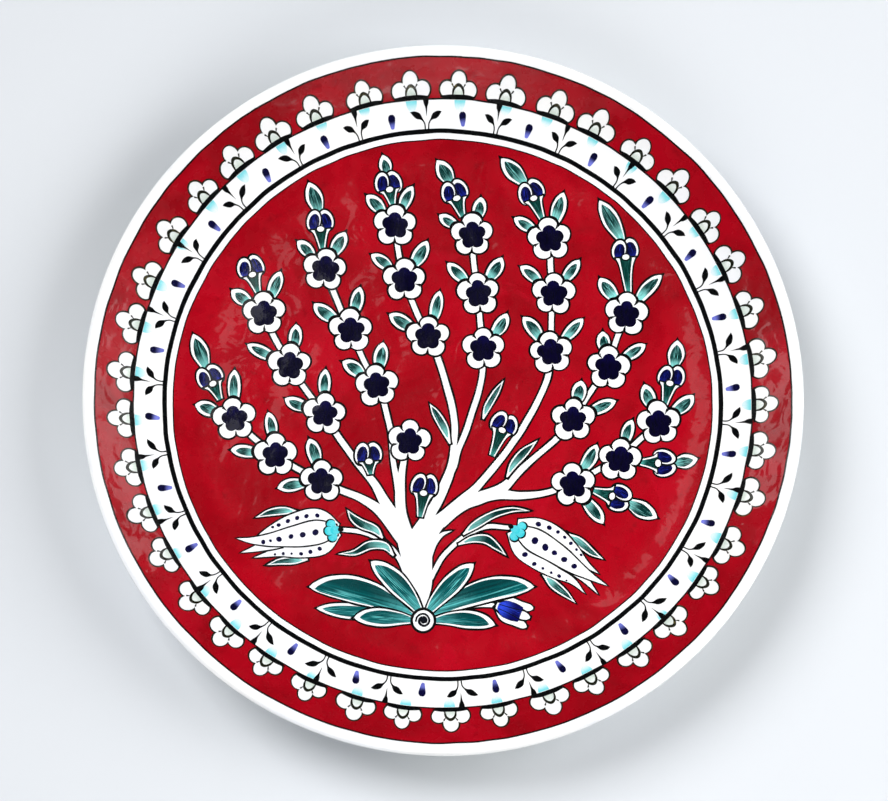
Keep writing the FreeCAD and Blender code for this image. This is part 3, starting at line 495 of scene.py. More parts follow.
def paint_sprig(d, bearing, inner, outer):
    for side in (-1, 1):
        bend = RNG.uniform(0.85, 1.15)
        leaf = placed(AXIS, bearing, SPRIG_STEM, side, inner)
        leaf += placed(AXIS, bearing, SPRIG_LEAF, side * bend, inner)
        d.paint("band_sprigs", ribbon(leaf))
    lean = RNG.uniform(-0.5, 0.5)
    d.paint("band_sprigs", ribbon(placed(AXIS, bearing, SPRIG_SPIKE, lean, outer)))


def paint_drop(d, bearing, inner):
    slant = RNG.uniform(-0.6, 0.6)
    head, tail = at(AXIS, bearing, inner + DROP_TOP, slant), at(AXIS, bearing, inner + DROP_FOOT, -slant)
    stroke = (head, heading(head, tail), apart(head, tail), 1.3, RNG.random())
    d.paint("band_cobalt_drops", ribbon(blade(head, tail, 1, 0, DROP)), stroke)


def paint_wood(d):
    """The white trunk, limbs, stems and twigs, all contoured together."""
    strips = LIMBS + STEMS
    for branch in BRANCHES:
        for (start, _), (end, _) in zip(branch, branch[1:]):
            middle = at(start, heading(start, end), 0.5 * apart(start, end), TWIG_BOW)
            strips = strips + [[start + (TWIG_W,), middle + (TWIG_W * TWIG_WAIST,), end + (TWIG_W,)]]
    for points in strips:
        d.paint("trunk_outline", ribbon(points, LINE))
    for points in strips:
        d.paint(None, ribbon(points))


def paint_leaf(d, base, tip, width, bow, form, margin=MARGIN, pieces=LEAF_PIECES, bare_tip=BARE_TIP):
    """A leaf: contour, white edge, and a green stroke that stops short of the tip."""
    rows = blade(base, tip, width, bow, form)
    d.contoured(pieces[0], lambda grow: ribbon(rows, grow))
    bearing, length = heading(base, tip), apart(base, tip)
    shift = RNG.uniform(-0.3, 0.3)
    start, end = at(base, bearing, 0.02 * length, shift), at(tip, bearing, -bare_tip, 0.6 * shift)
    fill = blade(start, end, width - 2 * margin, bow, form)
    d.paint(pieces[1], ribbon(fill), (start, bearing, length - bare_tip, width / 2, RNG.random()))


def paint_joint(d, centre, lobes, bearing):
    """The heavy dark arc where a leaf leaves a blossom, drawn round the petals' contour."""
    rows = []
    for t, w in JOINT:
        a = bearing + JOINT_HALF_ANGLE * t
        rows.append(at(centre, a, reach_of(lobes, a) + JOINT_OUT, 0) + (w,))
    d.paint("leaf_outlines", ribbon(rows))


def paint_slim_leaf(d, points):
    d.contoured("leaf_outlines", lambda grow: ribbon(points, grow))
    start, second, last, end = points[0], points[1], points[-2], points[-1]
    inner = [(x, y, w - SLIM_MARGIN) for x, y, w in points[1:-1]]
    first = (0.6 * start[0] + 0.4 * second[0], 0.6 * start[1] + 0.4 * second[1], 0.5)
    near_tip = (0.3 * last[0] + 0.7 * end[0], 0.3 * last[1] + 0.7 * end[1], 0)
    stroke = (start[:2], heading(start, end), apart(start, end), 2.0, RNG.random())
    d.paint("leaf_greens", ribbon([first] + inner + [near_tip]), stroke)


def paint_tulip(d, foot, bearing_degrees, petals, rows):
    bearing = radians(bearing_degrees)
    for petal in petals:
        line = placed(foot, bearing, petal)
        d.paint("tulip_outlines", ribbon(line, LINE * TULIP_LINE))
        d.paint(None, ribbon(line))
    for along, side in CUP_LOBES:
        spot = at(foot, bearing, along, side)
        d.paint("tulip_outlines", oval(at(spot, heading(foot, spot), 0.45, 0), 0, CUP_LINE_R, CUP_LINE_R))
        d.paint("tulip_cups", oval(spot, 0, CUP_R, CUP_R), (spot, bearing, 2.0, 2.0, RNG.random()))
    middle = at(foot, bearing, 1.7, 0)
    d.paint("tulip_cups", oval(middle, bearing, 2.0, 1.7), (middle, bearing, 2.0, 2.0, RNG.random()))
    for row in rows:
        for along, side, radius in row:
            spot = at(foot, bearing, along, side)
            d.paint("tulip_dots", oval(spot, RNG.uniform(0, pi), radius * 1.08, radius * 0.95, 0, 20),
                    (spot, bearing, radius, radius, RNG.random()))
    d.paint("tulip_outlines", oval(at(foot, bearing, -0.6, 0), bearing, 1.2, 1.0, 0, 20))


def paint_small_tulip(d):
    foot, bearing = SMALL_TULIP[0], radians(SMALL_TULIP[1])
    for side in (-1, 1, 0):
        petal = placed(foot, bearing, SMALL_PETAL, side)
        d.contoured("tulip_outlines", lambda grow: ribbon(petal, grow))
    heart = ribbon(placed(foot, bearing, SMALL_HEART))
    d.paint("small_tulip_heart", heart, (foot, bearing, 11.0, 3.8, 0.4))
    for side in (-1, 1):
        d.paint("tulip_outlines", ribbon(placed(foot, bearing, SMALL_SEAM, side)))


def paint_bud(d, foot, top, tip):
    """Two cobalt petals rise from a flared green calyx; some carry a last leaf above."""
    bearing, length = heading(foot, top), apart(foot, top)
    if tip:
        base = at(foot, bearing, length - BUD_LEAF_START, 0)
        width = min(7.0, 0.42 * apart(base, tip) + 1.0)
        paint_leaf(d, base, tip, width, RNG.uniform(-0.6, 0.6), BUD_LEAF)
    for side in (-1, 1):
        long, lean = RNG.uniform(4.2, 4.6), bearing - RNG.uniform(0.16, 0.3) * side
        centre = at(foot, bearing, length - PETAL_BELOW_TOP + RNG.uniform(-0.5, 0.5), BUD_SPREAD * side)
        d.contoured("bud_outlines", lambda grow: oval(centre, lean, long, BUD_PETAL_HALF_W, grow))
        inside = at(centre, lean, -0.45, -0.25 * side)
        stroke = (at(inside, lean, -long, 0), lean, 2 * long, 2.4, RNG.random())
        d.paint("bud_petals", oval(inside, lean, long - MARGIN, 2.2), stroke)
    rise = length - CALYX_BELOW_TOP
    cup = [at(foot, bearing, t * rise, 0) + (w,) for t, w in CALYX_FORM]
    d.contoured("bud_outlines", lambda grow: ribbon(cup, grow * 0.9))
    fill = [at(foot, bearing, t * rise, 0) + (w,) for t, w in CALYX_GREEN]
    fill.append(at(foot, bearing, rise + 0.2, 0) + (5.4,))
    d.paint("bud_calyxes", ribbon(fill), (foot, bearing, rise, 2.5, RNG.random()))
    dot = at(foot, bearing, rise + 0.3, 0)
    d.contoured("bud_outlines", lambda grow: oval(dot, bearing, 1.15, 1.5, grow * 0.7))


def blossom_lobes():
    """The petals and the heart of one blossom, each no two alike."""
    turn = pi / 2 + RNG.uniform(-0.14, 0.14)
    petals, heart = [], []
    for i in range(PETALS):
        a = turn + 2 * pi * i / PETALS
        petals.append((a + RNG.uniform(-0.05, 0.05), PETAL_OUT + RNG.uniform(-0.25, 0.25),
                       PETAL_R + RNG.uniform(-0.2, 0.25)))
        heart.append((a + RNG.uniform(-0.08, 0.08), HEART_OUT + RNG.uniform(-0.2, 0.25),
                      HEART_R + RNG.uniform(-0.15, 0.15)))
    return petals, heart


def paint_blossom(d, centre, petals, heart):
    d.contoured("blossom_outlines", lambda grow: lobed(centre, petals, grow))
    for (a, _, _), (b, _, _) in zip(petals, petals[1:] + petals[:1]):
        middle = a + ((b - a) % (2 * pi)) / 2
        tick = [at(centre, middle, t, RNG.uniform(-0.15, 0.15)) + (w,) for t, w in PETAL_SEAM]
        d.paint("blossom_outlines", ribbon(tick))
    d.paint("blossom_hearts", lobed(centre, heart, 0, 90), (centre, petals[0][0], 5.7, 5.7, RNG.random()))


def paint_base(d):
    pieces = ("base_leaf_outlines", "base_leaf_greens")
    for base, middle, tip, width in BASE_LEAVES:
        bearing = heading(base, tip)
        bow = (middle[1] - base[1]) * cos(bearing) - (middle[0] - base[0]) * sin(bearing)
        paint_leaf(d, base, tip, width, bow, BASE_LEAF, 0.9, pieces, 2.4)
    for piece, radius in (("rosette_ring", ROSETTE_R + ROSETTE_LINE), (None, ROSETTE_R)):
        d.paint(piece, oval(ROSETTE, 0, radius, radius, 0, 48))
    d.paint("rosette_curl", oval(ROSETTE, 0, EYE_R, EYE_R, 0, 20))
    for turn in range(4):
        rows = []
        for i in range(5):
            t = (turn + i / 4) / 4
            rows.append(at(ROSETTE, -0.8 + 3.3 * pi * t, 0.9 + 2.4 * t, 0) + (1.35 - 0.65 * t,))
        d.paint("rosette_curl", ribbon(rows, 0, 5))


def paint_tree(d):
    paint_wood(d)
    for points in SLIM_LEAVES:
        paint_slim_leaf(d, points)
    for foot, bearing, petals, rows in TULIPS:
        paint_tulip(d, foot, bearing, petals, rows)
    paint_small_tulip(d)
    blossoms = [(centre, tips, blossom_lobes()) for branch in BRANCHES for centre, tips in branch]
    for centre, tips, (petals, _) in blossoms:
        for tip in tips:
            bearing = heading(centre, tip)
            width = LEAF_W * RNG.uniform(0.92, 1.15)
            base = at(centre, bearing, LEAF_START, 0)
            paint_leaf(d, base, tip, width, RNG.uniform(-0.6, 0.6), BLOSSOM_LEAF)
    for foot, top, tip in BUDS:
        paint_bud(d, foot, top, tip)
    for centre, tips, (petals, heart) in blossoms:
        for tip in tips:
            paint_joint(d, centre, petals, heading(centre, tip))
        paint_blossom(d, centre, petals, heart)
    paint_base(d)


# ---- meshes ----
def put(name, data):
    """A new object in the scene."""
    thing = bpy.data.objects.new(name, data)
    bpy.context.scene.collection.objects.link(thing)
    return thing


def new_piece(name, verts, faces, node, slot_name, normals=None, strokes=None):
    """A mesh piece in metres that stands for a CAD node."""
    mesh = bpy.data.meshes.new(name)
    mesh.from_pydata((np.asarray(verts) * MM).tolist(), [], faces)
    mesh.validate()
    if strokes is not None:
        layer = mesh.attributes.new("stroke", "FLOAT_VECTOR", "POINT")
        layer.data.foreach_set("vector", np.asarray(strokes, dtype=np.float32).ravel())
    mesh.polygons.foreach_set("use_smooth", [True] * len(mesh.polygons))
    if normals is None:
        mesh.set_sharp_from_angle(angle=radians(38))
    else:
        mesh.normals_split_custom_set([tuple(n) for n in normals])
    piece = put(name, mesh)
    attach(piece, "root")
    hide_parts(node)
    return piece


def pad_parts(points, triangles, height, stroke):
    """One closed pad: top, wall and underside, with a normal for each face corner."""
    triangles = np.asarray(triangles)
    a, b, c = (points[triangles[:, k]] for k in range(3))
    turn = (b[:, 0] - a[:, 0]) * (c[:, 1] - a[:, 1]) - (b[:, 1] - a[:, 1]) * (c[:, 0] - a[:, 0])
    triangles[turn < 0] = triangles[turn < 0][:, ::-1]
    used, flat = np.unique(triangles, return_inverse=True)
    flat = flat.reshape(-1, 3)
    x, y = points[used, 0], points[used, 1]
    ground = np.stack([x, y, face_height(x, y)], axis=-1)
    normals = face_normals(x, y)
    count = len(used)
    top, low = ground + normals * height, ground - normals * SUNK
    edges = np.concatenate([flat[:, [0, 1]], flat[:, [1, 2]], flat[:, [2, 0]]])
    keys = {(int(p), int(q)) for p, q in edges}
    rim = sorted((p, q) for p, q in keys if (q, p) not in keys)
    faces = [tuple(int(v) for v in t) for t in flat]
    corner_normals = [normals[v] for t in faces for v in t]
    for p, q in rim:
        faces.append((p, p + count, q + count, q))
        along = top[q] - top[p]
        out = np.array([along[1], -along[0], 0.0])
        out = out / max(np.linalg.norm(out), 1e-9)
        corner_normals += [out, out, out, out]
    under = [tuple(int(v) + count for v in t[::-1]) for t in flat]
    corner_normals += [-normals[v - count] for t in under for v in t]
    strokes = np.zeros((2 * count, 3))
    if stroke:
        foot, bearing, length, half, seed = stroke
        dx, dy = x - foot[0], y - foot[1]
        u = (dx * cos(bearing) + dy * sin(bearing)) / length
        v = (dy * cos(bearing) - dx * sin(bearing)) / half
        strokes[:count] = np.stack([u, v, np.full(count, seed)], axis=-1)
        strokes[count:] = strokes[:count]
    return np.concatenate([top, low]), faces + under, corner_normals, strokes


def make_pads(drawing):
    """Each piece's pads together, as one mesh."""
    points, shares = drawing.partition(loose_points())
    built = {}
    for (piece, index), triangles in sorted(shares.items()):
        stroke = drawing.outlines[index][2] if index >= 0 else None
        pad = pad_parts(points, triangles, HEIGHT.get(piece, COLOUR_HEIGHT), stroke)
        built.setdefault(piece, []).append(pad)
    slots = {part["node"]: part["material_slot"] for part in frame["record"]["subparts"]}
    pieces = {}
    for name, pads in built.items():
        faces, normals, start = [], [], 0
        for verts, pad_faces, pad_normals, _ in pads:
            faces += [tuple(v + start for v in face) for face in pad_faces]
            normals += pad_normals
            start += len(verts)
        verts, strokes = (np.concatenate([pad[k] for pad in pads]) for k in (0, 3))
        pieces[name] = new_piece("painted_" + name, verts, faces, name, slots[name], normals, strokes)
    return pieces


def turned(name, profile, node, slot_name, steps=300, flat_below=7.5):
    """A closed body of revolution from (radius, height) points in order, uneven like the dish."""
    verts, faces = [], []
    count = len(profile)
    for i in range(steps):
        a = 2 * pi * i / steps
        for r, z in profile:
            x, y = r * cos(a), r * sin(a)
            fade = min(max((z - flat_below / 2) / (flat_below / 2), 0.0), 1.0)
            verts.append((x, y, z + fade * float(wobble(x, y))))
    for i in range(steps):
        j = (i + 1) % steps
        for k in range(count):
            m = (k + 1) % count
            faces.append((i * count + k, j * count + k, j * count + m, i * count + m))
    return new_piece(name, verts, faces, node, slot_name)


def bend_point(radius, angle):
    return (FLOOR_R + radius * sin(angle), FLOOR_Z + BEND_R - radius * cos(angle))


def lip_point(height, turn):
    """turn 0 is on the face, 1 on the back, going round the tip."""
    mid = bend_point(BEND_R + LIP_R, SLOPE)
    run = (RIM_R - LIP_R - SLIP - mid[0]) / cos(SLOPE)
    centre = (mid[0] + run * cos(SLOPE), mid[1] + run * sin(SLOPE))
    a = SLOPE + pi / 2 - pi * turn
    return (centre[0] + (LIP_R + height) * cos(a), centre[1] + (LIP_R + height) * sin(a))


def spaced(a, b, count):
    """count points from a towards b, without b."""
    return [(a[0] + (b[0] - a[0]) * i / count, a[1] + (b[1] - a[1]) * i / count) for i in range(count)]


def face_line(height):
    radius = BEND_R - height
    line = spaced((CENTRE_R, FLOOR_Z + height), (FLOOR_R, FLOOR_Z + height), 50)
    line += [bend_point(radius, SLOPE * i / 18) for i in range(18)]
    return line + spaced(bend_point(radius, SLOPE), lip_point(height, 0), 8)


def lip_line(height):
    return [lip_point(height, i / 14) for i in range(14)]


def back_line(height):
    radius = BEND_R + WALL + height
    line = spaced(lip_point(height, 1), bend_point(radius, SLOPE), 8)
    line += [bend_point(radius, SLOPE * (1 - i / 14)) for i in range(14)]
    return line + spaced(bend_point(radius, 0), (FOOT_OUT + FOOT_DRAFT, bend_point(radius, 0)[1]), 6)


def foot_line():
    """Round the foot ring from the dish's underside to the recessed base."""
    under = bend_point(BEND_R + WALL, 0)[1]
    line = spaced((FOOT_OUT + FOOT_DRAFT, under), (FOOT_OUT + 0.15, FOOT_ROUND), 5)
    line += [(FOOT_OUT - FOOT_ROUND + FOOT_ROUND * cos(a), FOOT_ROUND - FOOT_ROUND * sin(a))
             for a in (0.1, 0.5, 0.9, 1.3)]
    line += spaced((FOOT_OUT - FOOT_ROUND, 0), (FOOT_IN + FOOT_ROUND, 0), 3)
    line += [(FOOT_IN + FOOT_ROUND - FOOT_ROUND * sin(a), FOOT_ROUND - FOOT_ROUND * cos(a))
             for a in (0.0, 0.4, 0.8, 1.2, 1.5)]
    line += spaced((FOOT_IN - 0.15, FOOT_ROUND), (FOOT_IN - FOOT_DRAFT, BASE_Z), 5)
    return line + spaced((FOOT_IN - FOOT_DRAFT, BASE_Z), (CENTRE_R, BASE_Z), 24) + [(CENTRE_R, BASE_Z)]


def make_body():
    clay = face_line(0) + lip_line(0) + back_line(0) + foot_line()
    body = turned("clay_and_foot", clay, "clay_body", "fired_clay")
    outer = face_line(SLIP) + lip_line(SLIP) + [lip_point(SLIP, 1)]
    inner = face_line(CLEAR) + lip_line(CLEAR) + [lip_point(CLEAR, 1)]
    slip = turned("white_ground", outer + inner[::-1], "white_slip", "white_glaze")
    back = back_line(BACK_GLAZE) + back_line(CLEAR)[::-1]
    glaze = turned("glaze_of_back", back, "back_glaze", "white_glaze")
    return body, slip, glaze


drawing = Drawing()
paint_rings(drawing)
for bearing in round_the_plate(FLOWERS, FLOWER_START, 0.5):
    paint_border_flower(drawing, bearing)
paint_band(drawing)
paint_tree(drawing)
PADS = make_pads(drawing)
BODY, GROUND, BACK = make_body()


# ---- materials ----
GLAZE_COAT = 0.7


class Nodes:
    """A node material written as short sums: each method from noise to bump returns its sockets."""

    def __init__(self, name):
        self.material = bpy.data.materials.new(name)
        self.material.use_nodes = True
        self.tree = self.material.node_tree
        self.shader = self.tree.nodes["Principled BSDF"]
        self.place = self.new("TexCoord").outputs["Object"]

    def link(self, socket, value):
        if isinstance(value, bpy.types.NodeSocket):
            self.tree.links.new(value, socket)
        else:
            socket.default_value = value

    def new(self, kind, **values):
        """A new node. Each value, a number or a socket, goes to the input of that name."""
        node = self.tree.nodes.new("ShaderNode" + kind)
        for key, value in values.items():
            self.link(node.inputs[key.replace("_", " ")], value)
        return node

    def noise(self, scale, detail=3.0, roughness=0.55, place=None, distortion=0.0):
        return self.new("TexNoise", Vector=place or self.place, Scale=scale, Detail=detail,
                        Roughness=roughness, Distortion=distortion).outputs["Fac"]

    def spots(self, scale):
        return self.new("TexVoronoi", Vector=self.place, Scale=scale).outputs["Distance"]

    def math(self, kind, a, b=0.0):
        node = self.new("Math")
        node.operation = kind
        self.link(node.inputs[0], a)
        self.link(node.inputs[1], b)
        return node.outputs[0]

    def span(self, value, low, high, to_low=0.0, to_high=1.0):
        node = self.new("MapRange", Value=value, From_Min=low, From_Max=high, To_Min=to_low, To_Max=to_high)
        node.interpolation_type = "SMOOTHSTEP"
        return node.outputs["Result"]

    def mix(self, factor, a, b):
        """Between two colours, each a socket or a tone as (red, green, blue)."""
        node = self.new("Mix")
        node.data_type = "RGBA"
        self.link(node.inputs[0], factor)
        for socket, value in zip(node.inputs[6:8], (a, b)):
            self.link(socket, tone(*value) if isinstance(value, tuple) else value)
        return node.outputs[2]

    def stroke(self):
        """Along the brush stroke, across it, and its seed."""
        node = self.new("Attribute")
        node.attribute_name = "stroke"
        return tuple(self.new("SeparateXYZ", Vector=node.outputs["Vector"]).outputs)

    def vector(self, x, y, z):
        return self.new("CombineXYZ", X=x, Y=y, Z=z).outputs[0]

    def bump(self, height, distance, normal=None):
        node = self.new("Bump", Height=height, Distance=distance)
        if normal:
            self.link(node.inputs["Normal"], normal)
        return node.outputs["Normal"]

    def finish(self, colour, roughness, normal, coat=GLAZE_COAT):
        values = {"Base Color": colour, "Roughness": roughness, "Normal": normal}
        if coat:
            values |= {"Coat Weight": coat, "Coat Roughness": 0.03, "Coat IOR": 1.5, "Coat Normal": normal}
        for key, value in values.items():
            self.link(self.shader.inputs[key], value)
        return self.material


def tone(r, g, b):
    """A given colour, as the shader wants it."""
    return tuple(c / 12.92 if c <= 0.04045 else ((c + 0.055) / 1.055) ** 2.4
                 for c in (r / 255, g / 255, b / 255)) + (1.0,)


def glaze_relief(n):
    """The glaze's long soft waves and its fine orange peel."""
    waves = n.bump(n.noise(55, 2, 0.4), 0.0007)
    return n.bump(n.noise(700, 2, 0.5), 0.00003, waves)


def white_glaze(name, warm=0.0):
    n = Nodes(name)
    clear = n.span(n.noise(24), 0.35, 0.65)
    base = n.mix(clear, (243, 245, 248), (250 - 4 * warm, 250, 249 - 9 * warm))
    smoke = n.span(n.noise(90, 4, 0.6), 0.58, 0.78, 0.0, 0.35)
    base = n.mix(smoke, base, (226, 230, 236))
    speck = n.span(n.spots(260), 0.03, 0.07, 0.55, 0.0)
    thin = n.span(n.noise(33, 2), 0.5, 0.62)
    base = n.mix(n.math("MULTIPLY", speck, thin), base, (120, 108, 100))
    rough = n.span(n.noise(130), 0.3, 0.7, 0.16, 0.27)
    return n.finish(base, rough, glaze_relief(n))


def red_glaze():
    n = Nodes("thick_red")
    blotch = n.span(n.noise(34, 3, 0.55, distortion=0.5), 0.34, 0.68)
    base = n.mix(blotch, (142, 0, 14), (166, 0, 21))
    pool = n.span(n.noise(17, 5, 0.58, distortion=0.8), 0.57, 0.61, 0.0, 0.3)
    base = n.mix(pool, base, (184, 8, 34))
    thin = n.span(n.noise(170, 5, 0.62), 0.55, 0.75, 0.0, 0.55)
    base = n.mix(thin, base, (122, 0, 12))
    pits = n.span(n.spots(420), 0.05, 0.12, 0.6, 0.0)
    base = n.mix(n.math("MULTIPLY", pits, n.span(n.noise(60, 2), 0.48, 0.6)), base, (84, 0, 10))
    rough = n.span(n.noise(150), 0.3, 0.7, 0.2, 0.34)
    grain = n.bump(n.noise(420, 3, 0.5), 0.00002)
    ripples = n.bump(n.noise(110, 1.5, 0.45, distortion=0.9), 0.00022, grain)
    waves = n.bump(n.noise(44, 1, 0.4, distortion=0.5), 0.0008, ripples)
    return n.finish(base, rough, waves)


def line_paint(name, thin, thick):
    """A drawn line's dark colour, which breaks up into its thin tone in places."""
    n = Nodes(name)
    broken = n.span(n.noise(320, 4, 0.6), 0.5, 0.78)
    long_wave = n.span(n.noise(48, 2), 0.52, 0.7)
    base = n.mix(n.math("MULTIPLY", broken, long_wave), thick, thin)
    base = n.mix(n.span(n.noise(900, 2), 0.62, 0.78, 0.0, 0.25), base, thin)
    rough = n.span(n.noise(200), 0.3, 0.7, 0.2, 0.33)
    return n.finish(base, rough, glaze_relief(n))


def stroked_paint(name, start, end, deep, streak=0.75, fade=(0.15, 0.85), pool=0.4, glow=0.0):
    """Brushed colour: runs from start to end along the stroke, darker in its streaks and where it pools.

    glow is how strongly hairs of the start colour shine through in the middle of the stroke.
    """
    n = Nodes(name)
    along, across, seed = n.stroke()

    def stretched(lengthways, crossways, apart_by):
        return n.vector(n.math("MULTIPLY", along, lengthways), n.math("MULTIPLY", across, crossways),
                        n.math("MULTIPLY", seed, apart_by))

    shifted = n.math("ADD", along, n.math("MULTIPLY", n.math("SUBTRACT", n.noise(210), 0.5), 0.35))
    base = n.mix(n.span(shifted, *fade), start, end)
    hair = n.span(n.noise(2.3, 3, 0.6, stretched(0.9, 3.4, 37.0)), 0.42, 0.68, 0.0, streak)
    base = n.mix(hair, base, deep)
    if glow:
        middle = n.span(n.math("ABSOLUTE", across), 0.2, 0.75, 1.0, 0.0)
        hairs = n.span(n.noise(1.9, 2, 0.5, stretched(1.3, 7.0, 91.0)), 0.52, 0.7, 0.0, glow)
        base = n.mix(n.math("MULTIPLY", hairs, middle), base, start)
    base = n.mix(n.span(n.math("ABSOLUTE", across), 0.55, 1.0, 0.0, pool), base, deep)
    base = n.mix(n.span(seed, 0.0, 1.0, 0.0, 0.25), base, deep)
    rough = n.span(n.noise(200), 0.3, 0.7, 0.17, 0.3)
    return n.finish(base, rough, glaze_relief(n))


def clay():
    n = Nodes("bare_clay")
    base = n.mix(n.span(n.noise(28, 4), 0.35, 0.7), (226, 213, 196), (206, 189, 168))
    base = n.mix(n.span(n.noise(160, 3, 0.6), 0.5, 0.75, 0.0, 0.4), base, (188, 168, 146))
    base = n.mix(n.span(n.spots(520), 0.06, 0.14, 0.5, 0.0), base, (150, 128, 108))
    rough = n.span(n.noise(240, 4), 0.3, 0.7, 0.72, 0.92)
    return n.finish(base, rough, n.bump(n.noise(850, 4, 0.6), 0.0002), 0.0)


def floor_paint():
    n = Nodes("studio_floor")
    base = n.mix(n.noise(3, 2), (205, 209, 214), (212, 215, 219))
    return n.finish(base, 0.85, n.bump(n.noise(12, 2), 0.0004), 0.0)


def give(nodes, paint):
    """Puts one paint on the pieces that stand for these nodes."""
    for node in nodes.split():
        PADS[node].data.materials.append(paint)


give("red_field red_border", red_glaze())
give("rim_line field_line band_outer_ring trunk_outline bud_outlines tulip_outlines rosette_ring",
     line_paint("black_line", (30, 36, 32), (6, 8, 8)))
give("band_inner_ring border_flower_bars band_sprigs leaf_outlines blossom_outlines base_leaf_outlines",
     line_paint("heavy_black", (22, 25, 22), (3, 4, 5)))
give("border_flower_outlines border_flower_arches", line_paint("olive_line", (112, 100, 48), (28, 30, 20)))
give("rosette_curl", line_paint("curl_line", (40, 56, 80), (8, 10, 18)))

# Brushed colours, by piece: name, the start, end and deep tones, then streak, fade, pool and glow.
BRUSHED = {
    "leaf_greens": ("leaf_green", (140, 226, 220), (0, 50, 48), (0, 34, 33), 0.55, (0.12, 0.56), 0.3, 0.75),
    "base_leaf_greens": ("big_leaf_green", (104, 208, 208), (0, 88, 90), (0, 40, 42), 0.8, (-0.3, 0.5),
                         0.6, 1.0),
    "bud_calyxes": ("calyx_green", (80, 176, 166), (0, 52, 46), (0, 34, 31), 0.6, (-0.1, 0.45), 0.35, 0.4),
    "blossom_hearts": ("heart_cobalt", (3, 0, 34), (6, 2, 58), (0, 0, 10), 0.8),
    "bud_petals": ("bud_cobalt", (34, 52, 196), (3, 3, 52), (1, 0, 24), 0.75, (-0.15, 0.45), 0.55, 0.75),
    "small_tulip_heart": ("small_tulip_cobalt", (44, 74, 222), (6, 8, 92), (1, 0, 40), 0.5, (0.1, 0.75),
                          0.4, 0.8),
    "band_cobalt_drops": ("drop_cobalt", (6, 5, 40), (120, 128, 224), (10, 10, 70), 0.25, (0.38, 0.85), 0.1),
    "band_turquoise_washes": ("turquoise_wash", (120, 220, 228), (244, 248, 250), (120, 214, 224), 0.2,
                              (0.0, 0.9), 0.0),
    "tulip_cups": ("turquoise", (96, 214, 222), (60, 205, 215), (30, 170, 190), 0.5),
    "tulip_dots": ("dot_cobalt", (10, 6, 56), (14, 10, 76), (4, 0, 34), 0.5),
    "border_flower_centres": ("centre_wash", (214, 224, 214), (242, 246, 244), (176, 200, 190), 0.35),
}
for node, recipe in BRUSHED.items():
    give(node, stroked_paint(*recipe))
BODY.data.materials.append(clay())
GROUND.data.materials.append(white_glaze("white_ground_glaze"))
BACK.data.materials.append(white_glaze("back_clear_glaze", 1.0))


# ---- the studio ----
def make_floor():
    mesh = bpy.data.meshes.new("floor")
    reach = 6.0
    mesh.from_pydata([(-reach, -reach, 0), (reach, -reach, 0), (reach, reach, 0), (-reach, reach, 0)], [],
                     [(0, 1, 2, 3)])
    floor = put("floor", mesh)
    mesh.materials.append(floor_paint())


def make_backdrop():
    """A ring of pale paper behind everything, glowing by its own emission in place of lamp light, with
    painted shade darker at its foot and lighter up to 0.45 m. It neither lights the plate nor shows in its
    glaze.
    """
    reach, height, sides = 5.6, 5.0, 96
    rim = [at(AXIS, 2 * pi * i / sides, reach, 0) for i in range(sides)]
    mesh = bpy.data.meshes.new("backdrop")
    mesh.from_pydata([(x, y, z) for z in (0, height) for x, y in rim], [],
                     [(i, (i + 1) % sides, sides + (i + 1) % sides, sides + i) for i in range(sides)])
    paper = put("backdrop", mesh)
    n = Nodes("studio_paper_glow")
    # painted light: the paper's own glow, darker at its foot and lighter upwards
    rise = n.span(n.new("SeparateXYZ", Vector=n.place).outputs[2], 0.0, 0.45)
    glow = n.mix(rise, (166, 169, 172), (220, 223, 227))
    for key, value in (("Base Color", (0, 0, 0, 1)), ("Specular IOR Level", 0.0), ("Emission Color", glow),
                       ("Emission Strength", 1.0)):
        n.link(n.shader.inputs[key], value)
    mesh.materials.append(n.material)
    paper.visible_diffuse = paper.visible_glossy = paper.visible_shadow = False


def sunlight(name, place, spread, strength):
    """Even light from the direction of place, as soft as a lamp that fills the given angle."""
    light = bpy.data.lights.new(name, "SUN")
    light.angle = radians(spread)
    light.energy = strength
    lamp = put(name, light)
    lamp.rotation_euler = Vector(place).to_track_quat("Z", "Y").to_euler()
    lamp.visible_glossy = False


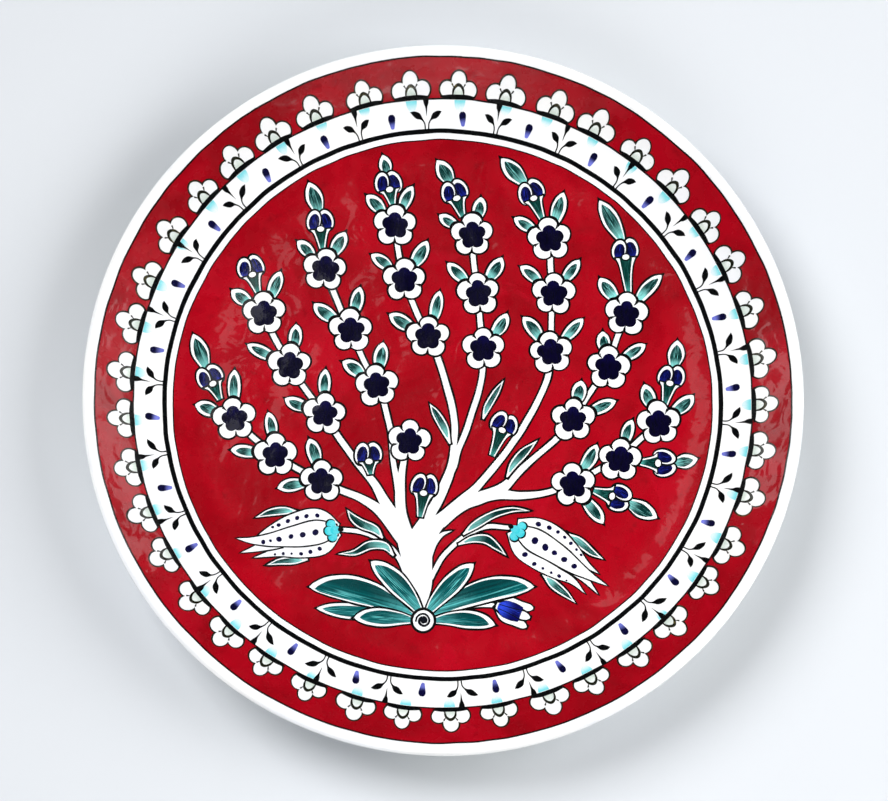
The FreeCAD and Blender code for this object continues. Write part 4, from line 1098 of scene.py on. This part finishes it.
def softbox(name, place, aim, width, height, power, mirrored=False):
    """A soft panel of light. Only a mirrored one shows in the glaze."""
    light = bpy.data.lights.new(name, "AREA")
    light.shape, light.size, light.size_y = "RECTANGLE", width, height
    light.energy = power
    lamp = put(name, light)
    lamp.location = place
    lamp.rotation_euler = (Vector(aim) - Vector(place)).to_track_quat("-Z", "Y").to_euler()
    lamp.visible_glossy = mirrored


def make_world():
    world = bpy.data.worlds.new("studio")
    world.use_nodes = True
    sky = world.node_tree.nodes["Background"]
    sky.inputs["Color"].default_value = (0.86, 0.9, 0.95, 1)
    sky.inputs["Strength"].default_value = 0.035
    bpy.context.scene.world = world


def make_camera(tilt=10.0, swing=-1.3, distance=2.5, lens=242.5):
    """Looks down into the dish from just below its middle, with the tree's top up the picture."""
    aim = Vector((0.0005, 0.0010, 0.014))
    away = Vector((sin(radians(swing)), -sin(radians(tilt)), cos(radians(tilt)))).normalized()
    data = bpy.data.cameras.new("camera")
    data.lens, data.sensor_width = lens, 36.0
    data.clip_start, data.clip_end = 0.05, 40.0
    data.dof.use_dof = False
    camera = put("camera", data)
    right = Vector((0, 1, 0)).cross(away).normalized()
    camera.matrix_world = Matrix((right, away.cross(right), away)).transposed().to_4x4()
    camera.location = aim + away * distance
    bpy.context.scene.camera = camera


make_floor()
make_backdrop()
make_world()
sunlight("key", (-1.5, 1.3, 2.2), 34, 2.6)
softbox("fill", (1.9, 0.2, 1.6), (0, 0, 0), 1.6, 1.6, 46)
softbox("near_fill", (0.2, -1.9, 1.5), (0, 0, 0), 1.6, 1.2, 22)
softbox("far_shine", (0.1, -1.7, 1.02), (0, 0.05, 0.02), 2.2, 0.3, 3.6, True)
softbox("right_shine", (1.8, 0.45, 0.84), (-0.1, 0, 0.02), 1.7, 0.2, 1.9, True)
softbox("left_shine", (-1.8, 0.35, 0.93), (0.1, 0, 0.02), 1.4, 0.16, 1.4, True)
softbox("high_shine", (-0.36, 0.42, 2.2), (-0.03, 0, 0), 0.5, 0.3, 0.5, True)
make_camera()
bpy.context.scene.view_settings.view_transform = "Standard"
